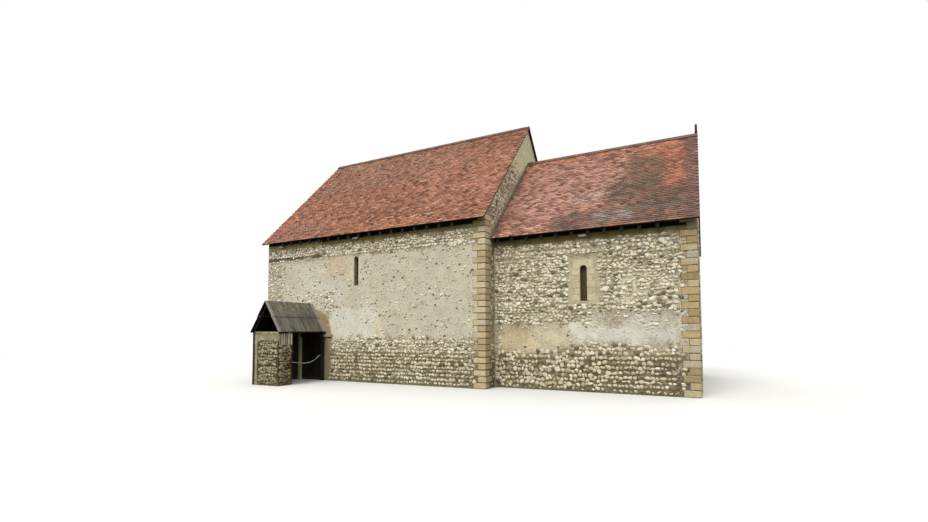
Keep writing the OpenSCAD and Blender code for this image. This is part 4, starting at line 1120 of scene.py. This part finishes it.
def chancelWalling():
    patches = (
        ((0.2, 1.28, 1.6, 1.98), render["ochre"], 0.85, 0.3, 1.0),
        ((1.3, 1.34, 2.9, 2.02), (0.665, 0.575, 0.405), 0.9, 0.3, 1.0),
        ((2.6, 1.44, 5.7, 2.04), (0.71, 0.68, 0.585), 0.95, 0.25, 1.0),
        ((3.3, 2.0, 5.75, 2.4), (0.60, 0.56, 0.49), 0.65, 0.3, 1.3),
        ((4.3, 2.55, 5.6, 3.5), (0.62, 0.56, 0.41), 0.55, 0.3, 1.0),
        ((2.5, 2.55, 3.5, 4.05), (0.58, 0.50, 0.34), 0.6, 0.1, 0.3),
        ((-0.05, 0.0, 0.08, 5.2), (0.62, 0.565, 0.42), 0.8, 0.03, 0.08),
        # The olive band under the eaves: mortar, its colour darkened with painted shade
        ((-0.2, 4.54, 6.3, 5.3), (0.26, 0.205, 0.075), 0.95, 0.05, 0.25))
    # Near-black painted shade, with soot, under the eaves
    paintedShadeAndStains = (
        ((-0.2, 4.76, 6.3, 5.6), render["black"], 0.98, 0.02, 0.06),
        ((4.6, 4.72, 6.3, 5.6), render["black"], 0.98, 0.02, 0.06))
    return wallFinish("chancelWalling", chancelSouth, east, patches, paintedShadeAndStains, bedShade=0.78, ring=oldRing,
                      room=((east - 0.68, chancelEast - 0.12), (chancelSouth + 0.12, chancelNorth - 0.12)))


def porchWalling():
    long = porchEast - porchWall["west"]
    capping = ((-0.1, porchWall["flintTop"] - 0.05, long + 0.1, 1.9), (0.31, 0.265, 0.165), 0.9, 0.05, 0.25)
    return wallFinish("porchFlintWalling", porchFront, porchWall["west"], (capping,), beds=3.0,
                      base=((0.075, 0.058, 0.033), (0.03, 0.024, 0.014)))


def wallNodes(part):
    return [name for name in cad if name.startswith(part + "_") and ("wall" in name or "gable" in name)
            and "plates" not in name]


dress(wallNodes("nave"), naveWalling())
dress(wallNodes("chancel"), chancelWalling())
dress(["porch_front_wall"], porchWalling())
print("walls finished")


def cutStone(name, tones=((0.33, 0.25, 0.13), (0.46, 0.35, 0.18), (0.55, 0.43, 0.25), (0.50, 0.40, 0.30)),
             grey=(0.50, 0.47, 0.39), share=0.6):
    # Each stone takes its own colour from the tones, with grey weathering over it
    f = Finish(name, 0.9, 0.15)
    colour = f.ramp(f.read("tone"), [(i / (len(tones) - 1), tone) for i, tone in enumerate(tones)])
    weathered = f.times(f.fade(f.clouds(1.7, 5), 0.48, 0.66), share)
    colour = f.mix(weathered, colour, grey)
    colour = f.shade(colour, f.clouds(11, 6), 0.8, 1.16)
    pits = f.fade(f.cells(38), 0.22, 0.08)
    f.paint(f.mix(f.times(pits, 0.5), colour, (0.16, 0.12, 0.06)))
    f.bump(f.clouds(24, 6), 0.008, 0.7)
    f.bump(f.clouds(160, 4), 0.002, 0.6)
    return f


def sooted(f, limits, sharp=0.02):
    # Darkens a finish inside a block with painted shade, as deep as the shade under the porch
    return f.paint(f.mix(f.times(f.inBlock(limits, sharp), 0.94), f.painted(), (0.012, 0.010, 0.007)))


def cornerStones():
    # Faced corner stones, long and short by turns, standing just proud of the wall
    stone = {"proud": 0.006, "joint": {"nave": 0.016, "chancel": 0.006}, "ease": 0.014, "under": 0.0703}
    dice = random.Random(61)
    corners = {"nave": (east, naveSouth, naveNorth), "chancel": (chancelEast, chancelSouth, chancelNorth)}
    naveTones = ((0.44, 0.32, 0.18), (0.57, 0.46, 0.27), (0.63, 0.53, 0.35))
    finishes = {"nave": cutStone("naveCutStone", naveTones), "chancel": cutStone("chancelCutStone")}
    # Painted shade on the chancel stones' east faces
    eastShadedStone = finishes["chancel"]
    paintedEastShade = eastShadedStone.times(eastShadedStone.fade(eastShadedStone.x, chancelEast + 0.001, chancelEast + 0.003), 0.6)
    eastShadedStone.paint(eastShadedStone.mix(paintedEastShade, eastShadedStone.painted(), (0.13, 0.11, 0.065)))
    for part, roof in roofs.items():
        x, south, north = corners[part]
        joint = stone["joint"][part]
        top = roofHeight(roof, roof["half"], stone["under"])
        pile = Pile()
        for y, side in ((south, 1), (north, -1)):
            for i in range(int(top / quoins["rise"])):
                lengths = (quoins["long"], quoins["short"])
                along, across = lengths if i % 2 == 0 else lengths[::-1]
                proud = stone["proud"] * dice.uniform(0.6, 1.4)
                z0 = i * quoins["rise"] + joint / 2
                z1 = (i + 1) * quoins["rise"] - joint / 2
                inner = y + side * (across - dice.uniform(0.0, 0.012))
                outer = y - side * proud
                block = easedBlock((x - along + dice.uniform(0.0, 0.012), min(inner, outer), z0),
                                   (x + proud, max(inner, outer), z1), stone["ease"] * dice.uniform(0.7, 1.3))
                pile.add(*block, tone=dice.random())
        pile.piece(part + "CornerStones", finishes[part], "dressed_stone")


cornerStones()
dress(["nave_quoins", "chancel_quoins"], limeMortar("stoneJoints", (0.11, 0.08, 0.04), (0.22, 0.17, 0.09)))


# Each window: the middle of its foot on the wall's face, and which way the wall looks
windows = {
    "nave": (((west + slit["naveX"], naveSouth), 0), ((west + slit["naveX"], naveNorth), 180),
             ((west, middle), -90)),
    "chancel": (((east + slit["chancelX"], chancelSouth), 0), ((east + slit["chancelX"], chancelNorth), 180),
                ((chancelEast, middle), 90)),
}


def windowTurns(part):
    # What carries a window's own plan, drawn as if it looked south, to each place in the walls
    return [Matrix.Translation((*spot, slit[part + "Z"])) @ Matrix.Rotation(math.radians(heading), 4, "Z")
            for spot, heading in windows[part]]


def dressingStones():
    # Faced stones round each chancel window, cut to the opening
    stone = {"courses": 5, "wide": 0.25, "proud": 0.005, "deep": 0.15, "joint": 0.008, "ease": 0.010,
             "arc": 12}
    dice = random.Random(17)
    pile = Pile()
    straight = slit["tall"] - slit["half"]
    rise = straight / stone["courses"]
    gap = stone["joint"] / 2
    for turn in windowTurns("chancel"):
        for i in range(stone["courses"]):
            reach = slit["half"] + stone["wide"] - (i % 2) * stone["wide"] / 3
            for side in (-1, 1):
                a, b = sorted((side * (slit["half"] + 0.001), side * (reach - gap)))
                points, faces = easedBlock((a, -stone["proud"] * dice.uniform(0.7, 1.3), i * rise + gap),
                                           (b, stone["deep"], (i + 1) * rise - gap), stone["ease"])
                pile.add([turn @ p for p in points], faces, dice.random())
        # The head stone: an arched lintel cut from one block, in front of the CAD's own
        reach, topZ = slit["half"] + stone["wide"] * 0.8 - gap, slit["tall"] + stone["wide"] * 0.7 - gap
        arc = [math.pi * k / stone["arc"] for k in range(stone["arc"] + 1)]
        ring = [(slit["half"] * math.cos(a), straight + gap + slit["half"] * math.sin(a)) for a in arc]
        outline = [(reach, straight + gap), (reach, topZ), (-reach, topZ), (-reach, straight + gap)]
        pile.add(*archedStone(ring, outline, stone["proud"], stone["deep"], turn), tone=dice.random())
    finish = cutStone("windowStone", ((0.52, 0.43, 0.26), (0.60, 0.53, 0.36)), (0.60, 0.57, 0.46))
    pile.piece("windowStones", finish, "dressed_stone")


def archedStone(ring, outline, proud, deep, turn):
    # ring runs from right to left over the opening, outline from right foot to left foot
    front = [Vector((x, -proud, z)) for x, z in ring + outline[::-1]]
    back = [Vector((x, deep, z)) for x, z in ring + outline[::-1]]
    sides, last = len(front), len(ring)
    points = [turn @ p for p in front + back]
    left, topLeft, topRight, right = (last + k for k in range(4))
    half = last // 2
    faces = [[k, topRight if k < half else topLeft, k + 1] for k in range(last - 1)]
    faces += [[0, right, topRight], [half, topRight, topLeft], [last - 1, topLeft, left]]
    faces += [[sides + i for i in face][::-1] for face in faces]
    return points, faces + band(sides)


dressingStones()
dress(["window_dressings"], cutStone("windowStoneBacking", ((0.42, 0.34, 0.20), (0.48, 0.39, 0.24))))


def finishDoorway():
    # Rusty round the arch, and dark low down where the porch shades it
    stone = cutStone("doorwayStone", ((0.30, 0.245, 0.14), (0.36, 0.30, 0.18)), (0.34, 0.315, 0.24))
    rusty = stone.times(stone.fade(stone.clouds(2.4, 4), 0.50, 0.60), stone.fade(stone.z, 1.6, 1.8), 0.55)
    stone.paint(stone.mix(rusty, stone.painted(), (0.58, 0.33, 0.14)))
    sooted(stone, ((doorX - 0.9, doorX + 0.49), (naveSouth - 0.2, naveSouth + 1.0), (-0.1, 1.88)))
    dress(["doorway_jambs", "doorway_arch", "chancel_arch"], stone)


finishDoorway()
print("cut stones set")


def glazeWindows():
    # Diamond lead lattices over the panes
    glass = Finish("leadedGlass", 0.3, 0.25)
    glass.paint(glass.mix(glass.clouds(9, 3), (0.040, 0.030, 0.008), (0.105, 0.076, 0.024)))
    glass.bump(glass.clouds(5, 2), 0.01, 0.25)
    dress(["window_glazing"], glass)
    lead = Finish("leadCames", 0.7, 0.2, 0.1)
    lead.paint(lead.mix(lead.clouds(30, 4), (0.035, 0.028, 0.012), (0.085, 0.068, 0.032)))
    came = {"pitch": 0.105, "rise": 0.135, "bars": (-4, 14), "steps": 60, "wide": 0.007, "thick": 0.005,
            "ease": 0.0012, "depth": 0.141, "edge": 0.002, "arc": 14}
    half, straight = slit["half"], slit["tall"] - slit["half"]

    def inside(x, z):
        return abs(x) < half and 0 < z and (z < straight or math.hypot(x, z - straight) < half)

    # The lattice's bars, each cut to the opening, and then the lead round its edge
    bars = []
    across = [-half + s * half / came["steps"] for s in range(2 * came["steps"] + 1)]
    for sign in (-1, 1):
        slope = sign * came["rise"] / came["pitch"]
        for k in range(*came["bars"]):
            base = k * came["rise"]
            inReach = [(x, base + slope * x) for x in across if inside(x, base + slope * x)]
            if len(inReach) > 3:
                bars.append((inReach[0], inReach[-1]))
    edge, radius = came["edge"], half - came["edge"]
    arc = [math.pi * (1 - k / came["arc"]) for k in range(came["arc"] + 1)]
    border = [(-radius, edge)] + [(radius * math.cos(a), straight + radius * math.sin(a)) for a in arc]
    border.append((radius, edge))
    bars += list(zip(border, border[1:] + border[:1]))
    pile = Pile()
    for turn in windowTurns("nave") + windowTurns("chancel"):
        for (x0, z0), (x1, z1) in bars:
            lean = (Matrix.Translation(((x0 + x1) / 2, came["depth"], (z0 + z1) / 2))
                    @ Matrix.Rotation(-math.atan2(z1 - z0, x1 - x0), 4, "Y"))
            size = (math.hypot(x1 - x0, z1 - z0) / 2, came["thick"] / 2, came["wide"] / 2)
            points, faces = easedBlock([-s for s in size], size, came["ease"])
            pile.add([turn @ lean @ p for p in points], faces)
    pile.piece("leadLattices", lead, "window_glass")


glazeWindows()


def barkedWood(name, light, dark, across, width, start, worn=None, stretch=(26, 26, 1.6)):
    # Boards with grain along them; across is the axis that the boards' widths run along
    f = Finish(name, 0.85, 0.2)
    axis = {"x": f.x, "y": f.y, "z": f.z}[across]
    board = f.maths("FLOOR", f.maths("DIVIDE", f.maths("SUBTRACT", axis, start), width))
    own = f.add("ShaderNodeTexWhiteNoise", None, board, noise_dimensions="1D").outputs[0]
    shift = f.add("ShaderNodeVectorMath", f.stretched(stretch),
                  f.add("ShaderNodeCombineXYZ", f.times(own, 37.0), None, None).outputs[0],
                  operation="ADD").outputs[0]
    grain = f.clouds(1.0, 7, shift, 0.65)
    colour = f.mix(f.fade(grain, 0.32, 0.68), dark, light)
    colour = f.shade(colour, own, 0.82, 1.15)
    if worn:
        colour = f.mix(f.times(f.fade(f.clouds(3, 5), 0.5, 0.7), 0.6), colour, worn)
    f.paint(colour)
    f.bump(grain, 0.004, 0.7)
    return f


def grainedWood(name, dark, light, stretch, rough=0.65, depth=0.003, look=(0.8, 0.2)):
    # Wood with its grain drawn out along one axis
    f = Finish(name, *look)
    grain = f.clouds(1.0, 7, f.stretched(stretch), rough)
    f.streaks = f.fade(grain, 0.3, 0.7)
    f.bump(grain, depth, 0.7)
    return f.paint(f.mix(f.streaks, dark, light))


def finishRoofTimber():
    # Oak inside; the rafters' feet outside the wall are painted near-black, as painted shade under the eaves
    for part, roof in roofs.items():
        oak = grainedWood(part + "OakTimber", (0.055, 0.036, 0.02), (0.20, 0.135, 0.078), (3, 9, 9),
                          depth=0.006)
        colour = oak.shade(oak.painted(), oak.clouds(1.2, 3), 0.85, 1.15)
        off = oak.maths("ABSOLUTE", oak.maths("SUBTRACT", oak.y, middle))
        outside = oak.fade(off, roof["half"] - 0.04, roof["half"])
        oak.paint(oak.mix(outside, colour, (0.012, 0.010, 0.006)))
        timbers = ("_wall_plates", "_tie_beams", "_collars", "_rafters_south", "_rafters_north")
        dress([part + end for end in timbers], oak)
        if part == "nave":
            dress(["doorway_lintel"], oak)


# The door leaf: its boards, from its west edge, and the heights of its rows of nails
leaf = {"boards": 5, "west": low("door_boards").x, "rows": (0.30, 0.38, 1.0, 1.08, 1.68, 1.76)}
leaf["board"] = (high("door_boards").x - leaf["west"]) / leaf["boards"]


def finishDoor():
    boards = barkedWood("doorOak", (0.050, 0.034, 0.022), (0.016, 0.011, 0.007), "x", leaf["board"],
                        leaf["west"])
    ledges = grainedWood("doorLedgeOak", (0.025, 0.017, 0.011), (0.075, 0.05, 0.032), (2, 26, 26))
    dress(["door_boards"], boards)
    dress(["door_ledges"], ledges)


def finishPorchRoof():
    # Weathered boards in two laps, pale at the ends, mossy near the ridge and dark underneath
    start = low("porch_roof_east_boards").y
    f = barkedWood("porchRoofBoards", (0.19, 0.178, 0.145), (0.05, 0.045, 0.034), "y",
                   porchRoof["long"] / porchRoof["boards"], start, (0.15, 0.155, 0.11), (1.6, 26, 1.6))
    away = f.maths("ABSOLUTE", f.maths("SUBTRACT", f.x, doorX))
    lap = f.times(f.maths("GREATER_THAN", away, porchRoof["half"] * porchRoof["lap"]), porchRoof["step"])
    fall = (porchRoof["ridge"] - porchRoof["eave"]) / porchRoof["half"]
    surface = f.maths("ADD", f.maths("MULTIPLY_ADD", away, fall, f.z), lap)
    under = f.fade(surface, porchRoof["ridge"] - 0.014, porchRoof["ridge"] - 0.026)
    ends = f.maths("MAXIMUM", f.fade(f.y, start + 0.13, start + 0.05),
                   f.fade(f.y, naveSouth - 0.22, naveSouth - 0.10))
    colour = f.mix(f.times(ends, 0.6), f.painted(), (0.36, 0.33, 0.33))
    mossy = f.times(f.fade(f.clouds(4, 4), 0.5, 0.62), f.fade(f.z, 2.3, 2.7), 0.5)
    colour = f.mix(mossy, colour, (0.27, 0.26, 0.14))
    f.paint(f.mix(under, colour, (0.007, 0.006, 0.005)))
    dress(["porch_roof_east_boards", "porch_roof_west_boards"], f)


def finishPorchFrame():
    # Tarred timber and side boards; the posts are dark, but for the pale one at the back on the west
    tarred = grainedWood("tarredTimber", (0.006, 0.005, 0.004), (0.022, 0.019, 0.015), (22, 22, 2), 0.6,
                         look=(0.7, 0.25))
    dress(["porch_wall_plates", "porch_rafters"], tarred)
    board = porchRoof["sideLong"] / porchRoof["boards"]
    sides = barkedWood("porchSideBoards", (0.055, 0.048, 0.038), (0.02, 0.017, 0.014), "y", board, porchFront)
    dress(["porch_west_boarding"], sides)
    posts = grainedWood("porchPosts", (0.40, 0.37, 0.17), (0.84, 0.80, 0.48), (22, 22, 2), 0.6)
    pale = posts.painted()
    dark = posts.mix(posts.streaks, (0.008, 0.007, 0.006), (0.034, 0.030, 0.025))
    rear = posts.fade(posts.y, naveSouth - 0.5, naveSouth - 0.4)
    onWest = posts.fade(posts.x, doorX - 0.3, doorX - 0.4)
    posts.paint(posts.mix(posts.times(rear, onWest), dark, pale))
    dress(["porch_posts"], posts)


def finishFloors():
    # Flagstones, with painted shade in the doorway
    f = Finish("floorFlags", 0.75, 0.25)
    flags = f.fade(f.cells(1.0, f.stretched((1.7, 1.7, 0.01)), "DISTANCE_TO_EDGE"), 0.0, 0.03)
    flag = f.mix(f.clouds(1.4, 5), (0.30, 0.26, 0.20), (0.46, 0.42, 0.34))
    f.paint(f.mix(flags, (0.10, 0.09, 0.07), f.shade(flag, f.clouds(20, 5), 0.85, 1.12)))
    sooted(f, ((doorX - 0.6, doorX + 0.6), (naveSouth - 0.1, naveSouth + 1.2), (-0.5, 0.5)), 0.1)
    f.bump(f.maths("ADD", flags, f.times(f.clouds(20, 5), 0.3)), 0.006, 0.7)
    dress(["stone_floors"], f)


def finishIron():
    f = Finish("blackIron", 0.6, 0.4, 0.5)
    f.paint(f.mix(f.fade(f.clouds(60, 5), 0.5, 0.7), (0.022, 0.021, 0.020), (0.085, 0.05, 0.03)))
    f.bump(f.clouds(120, 4), 0.001, 0.6)
    dress(["chancel_finial", "porch_rope_pegs", "door_pintles", "door_straps", "door_ring"], f)
    return f


def finishRidges():
    f = Finish("ridgeTileClay", 0.9, 0.2)
    colour = f.mix(f.fade(f.clouds(2.6, 5), 0.35, 0.65), (0.11, 0.062, 0.045), (0.17, 0.105, 0.072))
    lichen = f.times(f.fade(f.clouds(13, 5), 0.52, 0.68), 0.5)
    f.paint(f.mix(lichen, f.shade(colour, f.clouds(6, 4)), (0.17, 0.145, 0.095)))
    f.bump(f.clouds(60, 5), 0.004, 0.7)
    dress(["ridge_tiles"], f)


finishRoofTimber()
finishDoor()
finishPorchRoof()
finishPorchFrame()
finishFloors()
finishRidges()
ironFinish = finishIron()
print("timber, floors and iron finished")


def nailDoor():
    # Clenched nail heads through the boards at each ledge, set by the same rule as the flints
    head = {"radius": 0.011, "rise": 0.006, "sides": 8, "across": (0.28, 0.72)}
    turns = [2 * math.pi * k / head["sides"] for k in range(head["sides"])]
    points = [(math.cos(a) * reach, math.sin(a) * reach, z) for reach, z in ((1.0, -0.3), (0.75, 0.6))
              for a in turns] + [(0, 0, 1.0)]
    mesh = bpy.data.meshes.new("nailHead")
    mesh.from_pydata(points, [], knob(head["sides"]))
    mesh.shade_smooth()
    store = shapeStore("nailHeads", [mesh])
    face = low("door_boards").y
    ringX = (low("door_ring").x + high("door_ring").x) / 2
    size = (head["radius"], head["radius"], head["rise"])
    places = []
    for z, i, share in product(leaf["rows"], range(leaf["boards"]), head["across"]):
        x = leaf["west"] + (i + share) * leaf["board"]
        behindRing = abs(x - ringX) < 0.05 and 0.9 < z < 1.2
        if not behindRing:
            places.append((Vector((x, face, z)), (math.pi / 2, 0, 0), size, 0.0))
    piece = setInPlace.run("doorNails", {"Shapes": store, "Kinds": 1, "Spin": 0.3, "Spread": 0.08, "Seed": 9,
                                         "Finish": ironFinish.material}, placesMesh("nailPlaces", places))
    finished(piece, "door")
    clearStore(store)


nailDoor()


def hangLamps():
    # A small flood lamp at each CAD lamp: eased body, cooling ribs, lens and bracket
    body = Finish("lampHousing", 0.5, 0.4, 0.2)
    body.paint(body.mix(body.clouds(20, 4), (0.30, 0.30, 0.27), (0.48, 0.48, 0.44)))
    body.bump(body.clouds(90, 3), 0.0008, 0.5)
    lens = Finish("lampLens", 0.2, 0.5)
    lens.paint(lens.mix(lens.clouds(6, 2), (0.42, 0.43, 0.40), (0.60, 0.61, 0.57)))
    lens.bump(lens.clouds(140, 2), 0.001, 0.4)
    shell, glass = Pile(), Pile()
    long, tall, rib = lamps["long"], lamps["tall"], lamps["rib"]
    for x, wall, roof in ([(west + u, naveSouth, nave) for u in lamps["nave"]]
                          + [(east + u, chancelSouth, chancel) for u in lamps["chancel"]]):
        z = roofHeight(roof, roof["half"], wallHead) - 0.005 - lamps["down"]
        x0, x1 = x - long / 2, x + long / 2
        front = wall - lamps["out"]
        shell.add(*easedBlock((x0, front + 0.012, z + 0.006), (x1, wall - 0.02, z + tall), 0.008))
        shell.add(*easedBlock((x0 + 0.05, wall - 0.03, z + 0.015), (x1 - 0.05, wall, z + tall - 0.01), 0.004))
        for k in range(lamps["ribs"]):
            start = x0 + 0.015 + k * (long - 0.03 - rib) / (lamps["ribs"] - 1)
            shell.add(*easedBlock((start, front + 0.03, z + tall - 0.004),
                                  (start + rib, wall - 0.024, z + tall + 0.008), 0.001))
        shell.add(*easedBlock((x0 - 0.004, front + 0.004, z), (x1 + 0.004, front + 0.02, z + tall), 0.004))
        glass.add(*easedBlock((x0 + 0.012, front, z + 0.012),
                              (x1 - 0.012, front + 0.008, z + tall - 0.012), 0.002))
    housing = shell.piece("lampHousings", body, "grey_lamp_housing")
    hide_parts("eave_lamps")
    glass.piece("lampLenses", lens, "grey_lamp_housing")


hangLamps()


def porchStones():
    # A column of squared stones at the flint wall's west end, its top course and upright stones on the return
    stone = {"proud": 0.012, "deep": 0.06, "column": (1.70, 1.74), "course": (1.755, 1.838), "upright": 1.80}
    dice = random.Random(31)
    pile = Pile()
    front, back = porchFront - stone["proud"], porchFront + stone["deep"]
    left, right = porchWall["west"], porchWall["west"] + porchWall["column"]
    z = 0.0
    while z < stone["column"][0]:
        rise = dice.uniform(0.14, 0.24)
        top = min(z + rise, stone["column"][1])
        pile.add(*easedBlock((left + 0.001, front, z + 0.002),
                             (right - dice.uniform(0.0, 0.03), back, top - 0.002), 0.006),
                 tone=dice.uniform(0.3, 0.75))
        z += rise
    x = left + 0.004
    bottom, top = stone["course"]
    while x < porchEast - 0.06:
        run = dice.uniform(0.10, 0.17)
        end = min(x + run, porchEast + 0.006)
        pile.add(*easedBlock((x, front, bottom), (end - 0.008, back, top), 0.010),
                 tone=0.05 if x < left + 0.25 else dice.uniform(0.25, 0.7))
        x += run
    y = porchFront + 0.02
    while y < porchFront + porchWall["return"] - 0.08:
        run = dice.uniform(0.07, 0.11)
        top = stone["upright"] + dice.uniform(-0.05, 0.03)
        pile.add(*easedBlock((porchEast - 0.06, y, porchWall["bars"]),
                             (porchEast + 0.014, y + run - 0.024, top), 0.012),
                 tone=dice.choice((0.45, 0.9, 1.0)))
        y += run
    tones = ((0.24, 0.115, 0.07), (0.30, 0.265, 0.16), (0.37, 0.335, 0.215), (0.60, 0.57, 0.42))
    pile.piece("porchCornerStones", cutStone("porchStone", tones, (0.37, 0.34, 0.235), 0.35), "dressed_stone")


porchStones()
print("porch and fittings done")

# Lights, floor and background
stage = {"skyLow": 0.15, "skyHigh": 1.5, "skyBand": 0.6, "sun": 2.1, "sunSize": 30, "sunHeight": 48,
         "sunTurn": -8, "sunColour": (1.0, 0.985, 0.95), "floor": (0.62, 0.62, 0.60),
         "bounce": (0.10, 0.11, 0.06), "reach": 60, "sides": 64, "drop": 0.002, "haze": (16.0, 40.0)}


def lightSky():
    # The world brightens upwards for what it lights, and is plain white for what looks at it
    world = bpy.data.worlds.new("studio")
    bpy.context.scene.world = world
    world.use_nodes = True
    air = Nodes(world.node_tree)
    sky = air.nodes["Background"]
    way = air.add("ShaderNodeTexCoord").outputs["Generated"]
    up = air.add("ShaderNodeSeparateXYZ", way).outputs[2]
    air.put(sky.inputs["Color"], (1.0, 1.0, 1.0))
    air.put(sky.inputs["Strength"], air.fade(up, 0.0, stage["skyBand"], stage["skyLow"], stage["skyHigh"]))
    white = air.add("ShaderNodeBackground", (1.0, 1.0, 1.0), 1.0)
    rays = air.add("ShaderNodeLightPath").outputs
    seen = air.maths("MAXIMUM", rays["Is Camera Ray"], rays["Is Glossy Ray"])
    seen = air.maths("MAXIMUM", seen, rays["Is Transmission Ray"])
    blend = air.add("ShaderNodeMixShader", seen, sky.outputs[0], white.outputs[0])
    air.put(air.nodes["World Output"].inputs[0], blend.outputs[0])


def lightSun():
    sun = bpy.data.lights.new("sun", "SUN")
    sun.energy = stage["sun"]
    sun.angle = math.radians(stage["sunSize"])
    sun.color = stage["sunColour"]
    lamp = addObject("sun", sun)
    lamp.rotation_euler = (math.radians(90 - stage["sunHeight"]), 0, math.radians(stage["sunTurn"]))


def layFloor():
    # A round floor: it throws back a dull green light, looks pale to the camera and fades to white far off
    reach, sides = stage["reach"], stage["sides"]
    turns = [2 * math.pi * k / sides for k in range(sides)]
    mesh = bpy.data.meshes.new("floor")
    mesh.from_pydata([(reach * math.cos(a), reach * math.sin(a), -stage["drop"]) for a in turns], [],
                     [list(range(sides))])
    f = Finish("paleFloor", 0.95, 0.1)
    seen = f.add("ShaderNodeLightPath").outputs["Is Camera Ray"]
    f.paint(f.mix(seen, stage["bounce"], stage["floor"]))
    distance = f.maths("SQRT", f.maths("ADD", f.times(f.x, f.x), f.times(f.y, f.y)))
    glow = f.add("ShaderNodeEmission", (1.0, 1.0, 1.0), 1.0).outputs[0]
    haze = f.times(f.fade(distance, *stage["haze"]), seen)
    blend = f.add("ShaderNodeMixShader", haze, f.shader.outputs[0], glow)
    f.put(f.nodes["Material Output"].inputs[0], blend.outputs[0])
    mesh.materials.append(f.material)
    addObject("floor", mesh)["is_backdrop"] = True


lightSky()
lightSun()
layFloor()
bpy.context.scene.view_settings.view_transform = "Standard"
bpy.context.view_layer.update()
triangles = 0
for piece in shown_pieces():
    if piece.type == "MESH":
        piece.data.calc_loop_triangles()
        triangles += len(piece.data.loop_triangles)
print("triangles in all:", triangles)
